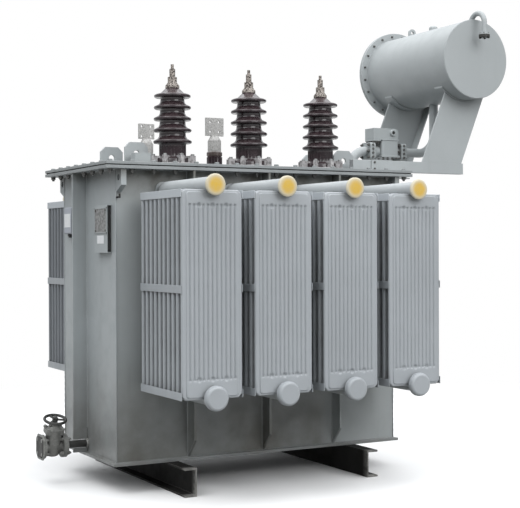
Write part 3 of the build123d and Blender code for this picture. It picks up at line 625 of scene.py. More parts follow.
def metal(name, colour, rough=0.45, shine=0.6, stain=(0.12, 0.10, 0.08)):
    """Bare or plated metal with handling marks and a little tarnish."""
    s = Shader(name)
    cloud = s.ramp(s.noise(30.0, 5.0), 0.35, 0.75)
    shade = s.mix(s.times(cloud, 0.45), tone(colour), tone(colour, 0.65))
    corner = s.times(s.ramp(s.occlusion(0.02), 0.3, 0.95), 0.7)
    shade = s.mix(corner, shade, tone(stain))
    gloss = s.ramp(s.noise(70.0, 3.0), 0.35, 0.75, rough - 0.08, rough + 0.14)
    marks = s.bump(s.noise(180.0, 3.0), 0.12, 0.0006)
    return s.finish(Base_Color=shade, Roughness=gloss, Metallic=shine, Normal=marks)


def mottled(name, light, dark, scale, share, rough=0.6):
    """Weathered metal: pale and dark blots at one scale, with finer grit over them."""
    s = Shader(name)
    blots = s.ramp(s.noise(scale, 4.0), share - 0.07, share + 0.07)
    grit = s.ramp(s.noise(scale * 3, 3.0), 0.45, 0.65)
    shade = s.mix(blots, tone(light), tone(dark))
    shade = s.mix(s.times(grit, 0.3), shade, tone(dark, 1.2))
    gloss = s.ramp(blots, 0.0, 1.0, rough - 0.1, rough + 0.15)
    pits = s.bump(s.noise(scale * 4, 3.0), 0.25, 0.0008)
    return s.finish(Base_Color=shade, Roughness=gloss, Metallic=0.15, Normal=pits)


def rubber(name, colour):
    """Oil-proof gasket rubber."""
    s = Shader(name)
    shade = s.mix(s.ramp(s.noise(60.0, 4.0), 0.3, 0.7), tone(colour, 0.7), tone(colour, 1.5))
    gloss = s.ramp(s.noise(90.0, 3.0), 0.3, 0.7, 0.65, 0.85)
    return s.finish(Base_Color=shade, Roughness=gloss, Normal=s.bump(s.noise(300.0, 2.0), 0.3, 0.0008))


def printed(name, colour, rough=0.45, smear=0.30):
    """A bare label or plate with faint smudges."""
    s = Shader(name)
    smudge = s.ramp(s.noise(45.0, 5.0), 0.45, 0.8)
    shade = s.mix(s.times(smudge, smear), tone(colour), tone(colour, 0.70))
    gloss = s.ramp(smudge, 0.0, 1.0, rough, rough + 0.2)
    return s.finish(Base_Color=shade, Roughness=gloss, Normal=s.bump(s.noise(160.0, 2.0), 0.08, 0.0004))


def rim_lit_plastic(name, middle, rim):
    """Moulded plastic, strong at the middle of each cap and paler towards its rim as a painted highlight on
    the bevel.
    """
    s = Shader(name)
    reach = s.node("Attribute", attribute_name="reach").outputs["Fac"]
    drift = s.ramp(s.noise(50.0, 4.0), 0.3, 0.7)
    # Painted highlight: paler towards each cap's bevelled rim
    shade = s.mix(s.ramp(reach, 0.42, 1.02), tone(middle), tone(rim))
    shade = s.mix(s.times(drift, 0.18), shade, tone(rim, 0.80))
    gloss = s.ramp(drift, 0.0, 1.0, 0.38, 0.55)
    return s.finish(Base_Color=shade, Roughness=gloss, Normal=s.bump(s.noise(120.0, 2.0), 0.10, 0.0006))


# Materials
# The tank paint, with dirt together with painted shade low down and painted shadow under the flange
tank_grey = paint("tank_grey", (0.378, 0.408, 0.418), foot=0.72, flange_shadow=0.72)
# Front and rear walls: a copy of the tank paint with stronger painted shade low down, deeper painted shadow
# under the flange and a darker dirt tone, fading towards the lit right end
front_shade_grey = paint("front_shade_grey", (0.378, 0.404, 0.408), dirt_and_shade=(0.068, 0.062, 0.046), foot=0.86, flange_shadow=0.96,
                   flange_shadow_depth=0.24, lit_from=(0.04, 0.20))
cover_grey = paint("cover_grey", (0.265, 0.283, 0.288), streaks=0.4, dust=0.55)
drum_grey = paint("drum_grey", (0.385, 0.412, 0.420), streaks=0.10, grime_and_shade=0.5)
# Radiators: strong grime together with painted shade in the gaps between panels
radiator_grey = paint("radiator_grey", (0.372, 0.396, 0.418), streaks=0.12, grime_and_shade=0.85)
# Radiator straps, their top band painted lighter as painted light
strap_grey = paint("strap_grey", (0.350, 0.374, 0.396), streaks=0.12, grime_and_shade=0.6,
                   lit_above=strap_top - strap_lit_band)
shaded_grey = paint("shaded_grey", (0.215, 0.232, 0.252), streaks=0.25, grime_and_shade=0.6)
# Header pipes: a lighter copy of the radiator paint, as painted light on their lit tops
header_lit_grey = paint("header_lit_grey", (0.435, 0.460, 0.472), streaks=0.12, grime_and_shade=0.5)
case_grey = paint("case_grey", (0.395, 0.420, 0.470), streaks=0.1, grime_and_shade=0.7)
relay_grey = paint("relay_grey", (0.345, 0.372, 0.378), streaks=0.2, grime_and_shade=0.75)
# Skids: near-black paint, darkened further as painted shade under the tank, with edges and ends worn bare and
# painted light
skid_grey = paint("skid_grey", (0.016, 0.0155, 0.0145), dirt_and_shade=(0.020, 0.018, 0.016), wear_and_highlight=0.9, rough=0.7,
                  gleam=0.15, bare=(0.260, 0.256, 0.244), worn_lit_ends=(skid_end - skid_worn_lit_end, skid_end))
brown_glaze = glazed("brown_glaze", (0.0165, 0.0072, 0.0100))
pale_glaze = glazed("pale_glaze", (0.085, 0.066, 0.060))
valve_iron = cast("valve_iron", (0.255, 0.257, 0.243))
blind_iron = cast("blind_iron", (0.024, 0.023, 0.021))
wheel_iron = cast("wheel_iron", (0.030, 0.030, 0.027), rough=0.5, soot_and_shade=0.4)
gasket_rubber = rubber("gasket_rubber", (0.020, 0.020, 0.020))
terminal_metal = mottled("terminal_metal", (0.415, 0.372, 0.335), (0.034, 0.027, 0.024), 120.0, 0.505)
clamp_metal = mottled("clamp_metal", (0.430, 0.420, 0.425), (0.215, 0.205, 0.205), 55.0, 0.55)
flag_metal = mottled("flag_metal", (0.455, 0.450, 0.440), (0.270, 0.265, 0.255), 130.0, 0.56)
dark_zinc = metal("dark_zinc", (0.130, 0.130, 0.125))
zinc = metal("zinc", (0.330, 0.335, 0.335))
# Vent caps: yellow, paler towards the rim as a painted highlight on the bevel
cap_plastic = rim_lit_plastic("cap_plastic", (0.690, 0.440, 0.055), (0.610, 0.565, 0.440))
plate_metal = mottled("plate_metal", (0.300, 0.302, 0.300), (0.185, 0.185, 0.182), 75.0, 0.50, rough=0.45)
label_white = printed("label_white", (0.800, 0.815, 0.830))

finish_of_slot = {
    "grey_paint": tank_grey,
    "radiator_paint": radiator_grey,
    "dark_paint": skid_grey,
    "yellow_paint": cap_plastic,
    "porcelain": brown_glaze,
    "cast_iron": valve_iron,
    "rubber": gasket_rubber,
    "brass": terminal_metal,
    "bare_metal": flag_metal,
}
own_finish = {
    "nameplate": plate_metal,
    "hv_clamp_rings": clamp_metal,
    "cover_lifting_lugs": drum_grey,
    "relay_body": relay_grey,
    "relay_head": relay_grey,
    "cover_plate": cover_grey,
    "tank_flange": cover_grey,
    "cover_pocket": relay_grey,
    "front_header_pipes": header_lit_grey,
    "rear_header_pipes": header_lit_grey,
    "front_radiator_straps": strap_grey,
    "rear_radiator_straps": strap_grey,
    "front_wall": front_shade_grey,
    "rear_wall": front_shade_grey,
    "front_wall_stiffeners": front_shade_grey,
    "rear_wall_stiffeners": front_shade_grey,
    "drain_handwheel": wheel_iron,
    "drain_valve_stem": dark_zinc,
}
drum_nodes = ("conservator", "breather", "relay_riser", "relay_cover")


def dress_frame():
    """Give every node of the frame its finish and soften its edges."""
    slot_of = {row["node"]: row["material_slot"] for row in frame["record"]["subparts"]}
    for name, node in nodes.items():
        finish = own_finish.get(name, finish_of_slot[slot_of[name]])
        if name.startswith(drum_nodes):
            finish = drum_grey
        node.data.materials.clear()
        node.data.materials.append(finish)
        weld = node.modifiers.new("weld", "WELD")
        weld.merge_threshold = joined_span
        round_edges(node, node_edge)


def cover_bolts():
    """Bolts through the cover and the tank's flange, clear of what is welded there."""
    heads = Mesh()
    tails = Mesh()
    low = (cover_low.x + cover_bolt_inset, cover_low.y + cover_bolt_inset)
    high = (cover_high.x - cover_bolt_inset, cover_high.y - cover_bolt_inset)
    beams = [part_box("conservator_beam_front"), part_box("conservator_beam_rear")]
    lugs_low, lugs_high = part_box("tank_lifting_lugs")
    kept_clear = bar_places + [lugs_low.x, lugs_high.x]
    for x, y in around(low, high, cover_bolt_pitch):
        if all(clear_of_box(x, y, box, beam_clearance) for box in beams):
            heads.bolt((x, y, cover_high.z), (0, 0, 1), bolt_m16)
        on_side = y in (low[1], high[1])
        if not on_side or all(abs(x - place) > bolt_clearance for place in kept_clear):
            tails.nut((x, y, flange_low.z), (0, 0, -1), bolt_m16)
    piece("cover_bolt_heads", heads, cover_grey)
    piece("cover_bolt_nuts", tails, dark_zinc)


def clear_of_box(x, y, box, margin):
    """True where a place is outside a box in plan, with a margin."""
    low, high = box
    inside_x = low.x - margin < x < high.x + margin
    inside_y = low.y - margin < y < high.y + margin
    return not (inside_x and inside_y)


def around(low, high, pitch):
    """Points along the edges of a rectangle, about a pitch apart."""
    points = []
    across = round((high[0] - low[0]) / pitch)
    deep = round((high[1] - low[1]) / pitch)
    for i in range(across + 1):
        x = low[0] + (high[0] - low[0]) * i / across
        points += [(x, low[1]), (x, high[1])]
    for i in range(1, deep):
        y = low[1] + (high[1] - low[1]) * i / deep
        points += [(low[0], y), (high[0], y)]
    return points


def weld_beads():
    """Beads round the foot of the tank, under its flange, up its corners and beside its bars."""
    beads = Mesh()
    left = [(wall_left, wall_rear), (wall_left, wall_front)]
    right = [(wall_right, wall_front), (wall_right, wall_rear)]
    corners = left[1:] + right + left[:1]
    for level in (wall_low, flange_low.z):
        beads.bead([(x, y, level) for x, y in corners], bead_radius, closed=True)
    for x, y in corners:
        beads.bead([(x, y, wall_low), (x, y, flange_low.z)], bead_radius)
    for y in (wall_front, wall_rear):
        for place in bar_places:
            for x in (place - bar_thickness / 2, place + bar_thickness / 2):
                beads.bead([(x, y, front_bars_low.z), (x, y, front_bars_high.z)], bead_radius)
    for x in (wall_left, wall_right):
        for y in (end_bars_low.y, end_bars_high.y):
            beads.bead([(x, y, end_bars_low.z), (x, y, end_bars_high.z)], bead_radius)
    piece("tank_weld_beads", beads, tank_grey)


def smooth_step(value, low, high):
    """0 below low, 1 above high, and a soft rise between."""
    share = min(1.0, max(0.0, (value - low) / (high - low)))
    return share * share * (3 - 2 * share)


def rolled(distance, radius):
    """How far a rolled edge has risen at a distance in from its outline, as a share."""
    inner = max(0.0, 1 - distance / radius)
    return sqrt(max(0.0, 1 - inner * inner))


class Panel:
    """A pressed radiator panel: rolled edges, upright grooves, and on the outermost a raised field."""

    def __init__(self, width, height, outermost):
        self.thickness = panel_thickness if outermost else inner_panel_thickness
        self.half_width = width / 2
        self.height = height
        self.outermost = outermost
        self.groove_span = width - 2 * (field_margin + groove_margin)
        self.pitch = self.groove_span / (groove_count - 1)
        self.grooves = [i * self.pitch - self.groove_span / 2 for i in range(groove_count)]
        self.last = height - groove_top_drop

    def columns(self):
        """Places across the panel where its sheet bends."""
        roll = self.thickness / 2
        edge = [roll * share for share in roll_shares]
        steps = groove_shares
        if self.outermost:
            edge += [field_margin, field_margin + field_slope / 2, field_margin + field_slope]
            steps = fine_groove_shares
        offsets = sorted({sign * step * groove_half_width for step in steps for sign in (-1, 1)})
        left = [distance - self.half_width for distance in edge]
        inner = [groove + offset for groove in self.grooves for offset in offsets]
        return left + inner + [-u for u in reversed(left)]

    def rows(self):
        """Heights above the panel's lower edge where its sheet bends."""
        ends = [panel_end_round * share for share in end_round_shares]
        if not self.outermost:
            runs = (0.0, groove_run_out)
            middle = [groove_bottom_rise + step for step in runs]
            middle += [self.last - step for step in reversed(runs)]
            return ends + [panel_corner] + middle + [self.height - v for v in reversed(ends + [panel_corner])]
        field = field_end_margin
        ends += [field, field + field_slope / 2, field + field_slope, panel_corner]
        steps = [wide_dimple_radius * share for share in dimple_shares]
        middle = [groove_bottom_rise + step for step in steps]
        middle += [self.last - step for step in reversed(steps)]
        return ends + middle + [self.height - v for v in reversed(ends)]

    def cut(self, v):
        """How much the clipped corners take off each side at a height."""
        return max(0.0, panel_corner - min(v, self.height - v))

    def half_thickness(self, u, v):
        """Half the panel's thickness at a place, thin along its rolled rim."""
        beside = self.half_width - self.cut(v) - abs(u)
        end = min(v, self.height - v)
        thin = panel_seam / 2
        roll = self.thickness / 2
        sides = thin + (roll - thin) * rolled(beside, roll)
        ends = roll - panel_end_round + panel_end_round * rolled(end, panel_end_round)
        return min(sides, ends)

    def pressed(self, u, v, depth):
        """How deep the grooves are pressed in at a place."""
        nearest = min(range(groove_count), key=lambda i: abs(u - self.grooves[i]))
        off = abs(u - self.grooves[nearest])
        run_in = smooth_step(v, groove_bottom_rise, groove_bottom_rise + groove_run_out)
        run_out = smooth_step(self.last - v, 0.0, groove_run_out)
        slope = max(0.0, 1 - off / groove_half_width)
        sunk = depth * run_in * run_out * slope * slope
        if self.outermost:
            wide = nearest % wide_dimple_every == wide_dimple_every - 1
            radius = wide_dimple_radius if wide else dimple_radius
            for level in (groove_bottom_rise, self.last):
                away = sqrt(off * off + (v - level) ** 2)
                dimple = wide_dimple_depth if wide else dimple_depth
                sunk = max(sunk, dimple * (1 - smooth_step(away, radius * dimple_floor_share, radius)))
        return sunk

    def raised(self, u, v):
        """How far the outermost panel's field stands out at a place."""
        beside = self.half_width - self.cut(v) - abs(u) - field_margin
        end = min(v, self.height - v) - field_end_margin
        return field_rise * smooth_step(min(beside, end), 0.0, field_slope)

    def build(self, mesh, x, y, z, outward):
        """Add the panel to a mesh, standing square to Y and closed all round."""
        columns = self.columns()
        rows = self.rows()
        across = len(columns)
        points = []
        for side in (-1, 1):
            faced = self.outermost and side == outward
            for v in rows:
                narrow = 1 - self.cut(v) / self.half_width
                for u in columns:
                    reach = self.half_thickness(u * narrow, v)
                    if faced:
                        reach += self.raised(u * narrow, v) - self.pressed(u, v, groove_depth)
                    else:
                        reach -= min(self.pressed(u, v, inner_groove_depth), reach - panel_seam / 2)
                    points.append((x + u * narrow, y + side * reach, z + v))
        sheet = across * len(rows)
        faces = []
        for first in (0, sheet):
            for j in range(len(rows) - 1):
                for i in range(across - 1):
                    a = first + j * across + i
                    faces.append([a, a + 1, a + across + 1, a + across])
        top = (len(rows) - 1) * across
        border = [(i, i + 1) for i in range(across - 1)]
        border += [(top + i, top + i + 1) for i in range(across - 1)]
        border += [(j, j + across) for j in range(0, top, across)]
        border += [(j + across - 1, j + 2 * across - 1) for j in range(0, top, across)]
        faces += [[a, b, b + sheet, a + sheet] for a, b in border]
        mesh.add(points, faces)


def radiators():
    """Pressed panels in place of the plain ones, the outermost of each stack in finer steps."""
    for name in sorted(n for n in nodes if n.startswith("radiator_")):
        low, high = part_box(name)
        outward = -1 if low.y < 0 else 1
        near, far = (high.y, low.y) if outward < 0 else (low.y, high.y)
        first = near + outward * panel_thickness / 2
        last = far - outward * (panel_thickness / 2 + field_rise)
        mesh = Mesh()
        for i in range(panel_count):
            y = first + (last - first) * i / (panel_count - 1)
            made = Panel(high.x - low.x, high.z - low.z, i == panel_count - 1)
            made.build(mesh, (low.x + high.x) / 2, y, low.z, outward)
        finish = radiator_grey if outward < 0 else shaded_grey
        piece(name + "_panels", mesh, finish, stands_for=[name], angle=panel_smooth_angle)


def hv_profile():
    """The tall bushing's outline from its foot to its neck."""
    foot_top = hv_foot_height
    outline = [
        (0, 0),
        (hv_foot_radius, 0),
        (hv_foot_radius, foot_top - hv_foot_round),
        (hv_foot_radius - hv_foot_round, foot_top),
        (hv_body_radius + hv_fillet, foot_top),
        (hv_body_radius, foot_top + hv_fillet),
    ]
    shaft = hv_first_shed - hv_shed_edge - hv_fillet - foot_top
    outline += [(hv_body_radius, foot_top + shaft * i / hv_shaft_steps) for i in range(1, hv_shaft_steps)]
    for i in range(hv_shed_count):
        level = hv_first_shed + i * hv_shed_pitch
        share = i / (hv_shed_count - 1)
        tip = hv_shed_radius - hv_shed_taper * share
        body = hv_body_radius - hv_body_taper * share
        under = level - hv_shed_edge
        outline += [
            (body, under - hv_fillet),
            (body + hv_fillet, under - hv_lip / 3),
            (tip - 2 * hv_lip, under - hv_lip),
            (tip - hv_lip / 2, under),
            (tip, level - hv_shed_edge / 2),
            (tip - hv_lip / 2, level),
            (tip - 4 * hv_lip, level + hv_shed_slope / 4),
            (body + hv_fillet, level + hv_shed_slope * hv_shed_root_share),
            (body, level + hv_shed_slope + hv_fillet),
        ]
    crown = hv_first_shed + (hv_shed_count - 1) * hv_shed_pitch
    hat = [
        (hv_body_radius - hv_body_taper, crown + hv_shed_slope * hv_hat_share),
        (hv_neck_radius + hv_fillet, hv_height - hv_lip),
        (hv_neck_radius, hv_height),
        (0, hv_height),
    ]
    return outline[:-2] + hat


def ribbed(radius, distance, angle):
    """Upright ribs round the straight foot of the tall bushing."""
    foot = hv_foot_height + hv_fillet
    head = hv_first_shed - hv_shed_edge - hv_fillet
    rise = smooth_step(distance, foot, foot + hv_rib_ends)
    fall = smooth_step(head - distance, 0.0, hv_rib_ends)
    return radius - hv_rib_depth * rise * fall * (0.5 + 0.5 * cos(hv_rib_count * angle))


def hv_bushings():
    """Glazed porcelain in place of the plain bushings, and the studs that clamp its foot."""
    studs = Mesh()
    for name in sorted(n for n in nodes if n.startswith("hv_bushing")):
        low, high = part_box(name)
        foot = Vector(((low.x + high.x) / 2, (low.y + high.y) / 2, low.z))
        mesh = Mesh()
        mesh.lathe(foot, (0, 0, 1), hv_profile(), hv_rib_steps * hv_rib_count, ribbed)
        piece(name + "_porcelain", mesh, brown_glaze, stands_for=[name],
              angle=porcelain_smooth_angle)
        for angle in turns(hv_clamp_count):
            reach = Vector((cos(angle), sin(angle), 0)) * hv_stud_reach
            studs.bolt(foot + reach + Vector((0, 0, hv_clamp_height)), (0, 0, 1), bolt_m12)
    piece("hv_clamp_nuts", studs, zinc)


def lv_bushings():
    """Short bushings of dark porcelain with a paler collar, and the clamps at their feet."""
    row = middle_of("lv_bushings").y
    drums = Mesh()
    collars = Mesh()
    clamps = Mesh()
    nuts = Mesh()
    edge = lv_collar_height / 6
    for x, height in zip(lv_places, lv_heights):
        top = cover_high.z + height
        band = [
            (lv_body_radius - edge, -lv_collar_height),
            (lv_body_radius, edge - lv_collar_height),
            (lv_body_radius, -edge),
            (lv_body_radius - edge, 0),
        ]
        collars.lathe((x, row, top), (0, 0, 1), [(0, -lv_collar_height), *band, (0, 0)], 40)
        shoulder = height - lv_collar_height
        drum = [
            (lv_foot_radius, 0),
            (lv_foot_radius, lv_foot_height - edge),
            (lv_foot_radius - edge, lv_foot_height),
            (lv_body_radius, lv_foot_height + edge),
            (lv_body_radius, shoulder - edge),
            (lv_body_radius - edge, shoulder),
        ]
        drums.lathe((x, row, cover_high.z), (0, 0, 1), [(0, 0), *drum, (0, shoulder)], 40)
        for angle in turns(4, pi / 4):
            along = Vector((cos(angle), sin(angle), 0))
            place = Vector((x, row, cover_high.z)) + along * lv_clamp_reach
            width, depth, rise = lv_clamp_size
            outline = [(-width / 2, 0), (width / 2, 0), (width / 2, rise / 2), (0, rise), (-width / 2, rise)]
            clamps.prism(place, along, (0, 0, 1), outline, depth)
            nuts.nut(place + Vector((0, 0, rise / 2)) + along * width / 8, (0, 0, 1), bolt_m10)
    piece("lv_porcelain", drums, brown_glaze, stands_for=["lv_bushings"])
    piece("lv_collars", collars, pale_glaze)
    piece("lv_clamps", clamps, cover_grey, soften=clamp_edge)
    piece("lv_clamp_nuts", nuts, zinc)


def vent_caps():
    """Plastic plugs on the upper headers, paler towards their rims as a painted highlight on the bevel."""
    low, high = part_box("header_vent_caps")
    mesh = Mesh()
    centres = []
    radius = (high.z - low.z) / 2
    for name in sorted(n for n in nodes if n.startswith("radiator_")):
        side = -1 if middle_of(name).y < 0 else 1
        pipe_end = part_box("front_header_pipes" if side < 0 else "rear_header_pipes")
        seat = pipe_end[0].y if side < 0 else pipe_end[1].y
        depth = abs((low.y if side < 0 else high.y) - seat)
        centre = Vector((middle_of(name).x, seat, (low.z + high.z) / 2))
        rim = [(radius - cap_edge, 0), (radius, cap_edge), (radius, depth - 2 * cap_edge)]
        rim += [(radius - cap_edge, depth - cap_edge), (radius - cap_rim, depth - cap_crown)]
        face = [(radius * share, depth - cap_crown * share) for share in cap_face_shares]
        mesh.lathe(centre, (0, side, 0), [(0, 0), *rim, *face, (0, depth)], 40)
        centres.append(centre)
    made = piece("vent_caps", mesh, cap_plastic, stands_for=["header_vent_caps"])
    reach = made.data.attributes.new("reach", "FLOAT", "POINT")
    for point, value in zip(made.data.vertices, reach.data):
        value.value = min(Vector((point.co.x - c.x, point.co.z - c.z)).length for c in centres) / radius


def conservator_details():
    """Bolts round the drum's rear cover, and the welds at both its ends."""
    low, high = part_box("conservator_rear_flange")
    centre = (low + high) / 2
    radius = (high.x - low.x) / 2 - drum_bolt_inset
    cover_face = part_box("conservator_rear_cover")[1].y
    bolts = Mesh()
    for angle in turns(drum_bolt_count, pi / drum_bolt_count):
        x = centre.x + radius * cos(angle)
        z = centre.z + radius * sin(angle)
        bolts.nut((x, low.y, z), (0, -1, 0), bolt_m8)
        bolts.bolt((x, cover_face, z), (0, 1, 0), bolt_m8)
    piece("conservator_bolts", bolts, dark_zinc)
    breather_flange()
    shell_low, shell_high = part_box("conservator_shell")
    drum_radius = (shell_high.z - shell_low.z) / 2
    ring = [Vector((cos(a), 0, sin(a))) * drum_radius for a in turns(72)]
    welds = Mesh()
    for y in (shell_low.y, low.y):
        welds.bead([(centre.x + p.x, y, centre.z + p.z) for p in ring], drum_bead_radius, closed=True)
    piece("conservator_welds", welds, drum_grey)


def breather_flange():
    """Dark flange with its bolts at the breather pipe's lower end."""
    low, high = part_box("breather_pipe")
    radius = (high.x - low.x) / 2
    foot = Vector(((low.x + high.x) / 2, low.y + radius, low.z))
    depth = breather_depth
    mesh = Mesh()
    reach = radius + breather_band
    inner = radius * breather_bore_share
    mesh.lathe(foot, (0, 0, 1), [(inner, depth), (reach, depth), (reach, 0), (inner, 0)], 32)
    for angle in turns(4, pi / 4):
        spot = foot + Vector((cos(angle), sin(angle), 0)) * radius * breather_bolt_share
        mesh.bolt(spot, (0, 0, -1), bolt_m8)
        mesh.nut(spot + Vector((0, 0, depth)), (0, 0, 1), bolt_m8)
    piece("breather_flange", mesh, blind_iron)


def relay_details():
    """Cable gland, seams, lower lip and bolts of the relay."""
    low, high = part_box("relay_body")
    head_low, head_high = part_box("relay_head")
    pipe_low, pipe_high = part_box("relay_cover_pipe")
    level = pipe_high.z - (pipe_high.y - pipe_low.y) / 2
    bottom = level - relay_body_below
    left = low.x + relay_body_start
    right = left + relay_body_length
    lip_right = left - seam_reach
    relay_gland(head_low.y)
    seams = Mesh()
    for reach, base, top in (
        (seam_reach, head_low.z - seam_height, head_low.z),
        (base_flange_reach, bottom, bottom + base_flange_height),
    ):
        seams.box((left - reach, low.y - reach, base), (right + reach, high.y + reach, top))
    seams.box((head_low.x, head_low.y, head_low.z - lip_height), (lip_right, head_high.y, head_low.z))
    piece("relay_seams", seams, relay_grey, soften=plate_edge)
    bolts = Mesh()
    relay_flange_bolts(bolts, low, high, level)
    for share in base_bolt_shares:
        x = left + relay_body_length * share
        for y, out in ((low.y - base_flange_reach, -1), (high.y + base_flange_reach, 1)):
            bolts.bolt((x, y - out * bolt_m8[0], bottom), (0, 0, -1), bolt_m8)
    for share in lip_bolt_shares:
        x = head_low.x + (lip_right - head_low.x) * share
        for y in (head_low.y + bolt_m10[0], head_high.y - bolt_m10[0]):
            bolts.nut((x, y, head_low.z - lip_height), (0, 0, -1), bolt_m10)
    piece("relay_bolts", bolts, dark_zinc)


def relay_gland(face):
    """Cable gland on the relay head's front face, with a plug in its bore."""
    x, z = gland_place
    floor_level = gland_depth * gland_floor_share
    gland = Mesh()
    gland.lathe((x, face, z), (0, -1, 0), [
        (gland_radius, 0),
        (gland_radius, gland_depth * gland_shoulder_share),
        (gland_radius * gland_nose_share, gland_depth),
        (gland_bore, gland_depth),
        (gland_bore, floor_level),
        (0, floor_level),
    ], 24)
    piece("relay_gland", gland, relay_grey)
    plug = Mesh()
    plug_radius = gland_bore * plug_width_share
    plug.lathe((x, face, z), (0, -1, 0), [
        (0, floor_level),
        (plug_radius, gland_depth * plug_base_share),
        (plug_radius, gland_depth * plug_rim_share),
        (0, gland_depth * plug_dish_share),
    ], 24)
    piece("relay_gland_plug", plug, gasket_rubber)


def relay_flange_bolts(bolts, low, high, level):
    """Bolts through the relay's two pairs of flanges, and those in the pairs' front edges."""
    middle = (low.y + high.y) / 2
    reach = relay_bolt_reach
    pair = 2 * relay_flange_thickness + relay_flange_gap
    for start in (low.x, high.x - pair):
        for u in (-reach, reach):
            for v in (-reach, 0.0, reach):
                bolts.nut((start, middle + u, level + v), (-1, 0, 0), bolt_m10)
                bolts.bolt((start + pair, middle + u, level + v), (1, 0, 0), bolt_m10)
        for v in (-reach, -reach / 3, reach / 3, reach):
            spot = (start + pair / 2, middle - relay_flange_side / 2, level + v)
            bolts.bolt(spot, (0, -1, 0), bolt_m8)


def beam_feet():
    """Feet in line with the beams' inner ends, each joined to its beam by a bolted plate."""
    feet = Mesh()
    studs = Mesh()
    (left, bottom), (right, top) = splice_span
    for name, out in (("conservator_beam_front", -1), ("conservator_beam_rear", 1)):
        low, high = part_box(name)
        foot_low = Vector((low.x - beam_foot_gap - beam_foot_length, low.y, low.z))
        feet.box(foot_low, (low.x - beam_foot_gap, high.y, high.z))
        face = low.y if out < 0 else high.y
        near, far = sorted((face, face + out * splice_thickness))
        feet.box((left, near, bottom), (right, far, top))
        for share in splice_bolt_shares:
            level = bottom + (top - bottom) * share
            spot = ((left + right) / 2, face + out * splice_thickness, level)
            studs.bolt(spot, (0, out, 0), bolt_m8)
    piece("beam_feet", feet, drum_grey, soften=clamp_edge)
    piece("beam_splice_bolts", studs, dark_zinc)


def drain_blind():
    """Cut-cornered plate that closes the drain valve, with a near-black plate on it as painted shade of a
    recess.
    """
    low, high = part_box("drain_blind_flange")
    seat = Vector((high.x, (low.y + high.y) / 2, (low.z + high.z) / 2))
    half = (high.z - low.z) / 2
    side = half - blind_corner
    outline = [(-half, -side), (-side, -half), (side, -half), (half, -side),
               (half, side), (side, half), (-side, half), (-half, side)]
    blind = Mesh()
    blind.prism(seat - Vector((blind_plate / 2, 0, 0)), (0, -1, 0), (0, 0, 1), outline, blind_plate)
    piece("drain_blind", blind, valve_iron, stands_for=["drain_blind_flange"], soften=plate_edge)
    # Near-black plate, painted shade standing for a dark recess in the blind
    cover = Mesh()
    shade_plate_half = half - blind_rim
    inner = [(u * shade_plate_half / half, v * shade_plate_half / half) for u, v in outline]
    cover_middle = seat - Vector((blind_plate + shade_plate_thickness / 2, 0, 0))
    cover.prism(cover_middle, (0, -1, 0), (0, 0, 1), inner, shade_plate_thickness)
    piece("drain_blind_shade_plate", cover, blind_iron, soften=cover_edge)


def drain_valve_bolts():
    """Bolts of the drain valve's flanges, bonnet and gland."""
    joint = frame["record"]["behaviour"]["joints"][0]
    stem = Vector(joint["axis"])
    bonnet = Vector(joint["pos_m"]) - stem * bonnet_drop
    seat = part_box("drain_blind_flange")[1].x
    middle = middle_of("drain_blind_flange")
    body_low, body_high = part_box("drain_valve_body")
    stub_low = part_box("drain_stub_pipe")[0]
    bolts = Mesh()
    for angle in turns(4, pi / 4):
        around_pipe = Vector((0, cos(angle), sin(angle))) * valve_bolt_reach
        line = Vector((0, middle.y, middle.z)) + around_pipe
        bolts.hexagon(line + Vector((seat - blind_plate, 0, 0)), (-1, 0, 0), *blind_bolt)
        for face, out in ((body_low.x, 1), (stub_low.x, 1), (body_high.x, -1)):
            back = Vector((face + out * drain_flange_thickness, 0, 0))
            bolts.nut(line + back, (out, 0, 0), bolt_m12)
    across = Vector((1, 0, 0))
    deep = stem.cross(across)
    for u in (-bonnet_bolts[0], bonnet_bolts[0]):
        for v in (-bonnet_bolts[1], bonnet_bolts[1]):
            bolts.bolt(bonnet + across * u + deep * v, stem, bolt_m12)
    radius = bolt_m10[0] / 3
    for u in (-gland_bolt_reach, gland_bolt_reach):
        foot = bonnet + across * u
        bolts.lathe(foot, stem, [(0, 0), (radius, 0), (radius, gland_bolt_top), (0, gland_bolt_top)], 12)
        bolts.hexagon(foot + stem * gland_nut_level, stem, bolt_m10[0], bolt_m10[2])
    piece("drain_valve_bolts", bolts, valve_iron)


def drain_stub():
    """The drain pipe between its flange at the valve and its collar at the wall."""
    middle = middle_of("drain_blind_flange")
    low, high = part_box("drain_stub_pipe")
    wall_spot = Vector((wall_left, middle.y, middle.z))
    outward = (-1, 0, 0)
    flange_radius = (high.z - low.z) / 2
    reach = wall_left - low.x
    neck = reach - drain_flange_thickness
    edge = collar_thickness / 6
    stub = Mesh()
    stub.lathe(wall_spot, outward, [
        (0, neck),
        (flange_radius - edge, neck),
        (flange_radius, neck + edge),
        (flange_radius, reach - edge),
        (flange_radius - edge, reach),
        (0, reach),
    ], 40)
    stub.lathe(wall_spot, outward, [
        (0, 0),
        (collar_radius, 0),
        (collar_radius, collar_thickness * collar_shoulder_share),
        (collar_radius * collar_nose_share, collar_thickness),
        (0, collar_thickness),
    ], 40)
    piece("drain_stub_ends", stub, valve_iron, stands_for=["drain_stub_pipe"])
    pipe = Mesh()
    start = collar_thickness / 2
    barrel = [(drain_pipe_radius, start), (drain_pipe_radius, neck + edge)]
    pipe.lathe(wall_spot, outward, [(0, start), *barrel, (0, neck + edge)], 32)
    # The barrel takes the near-black wheel iron as painted shade on the pipe
    piece("drain_stub_barrel", pipe, wheel_iron)


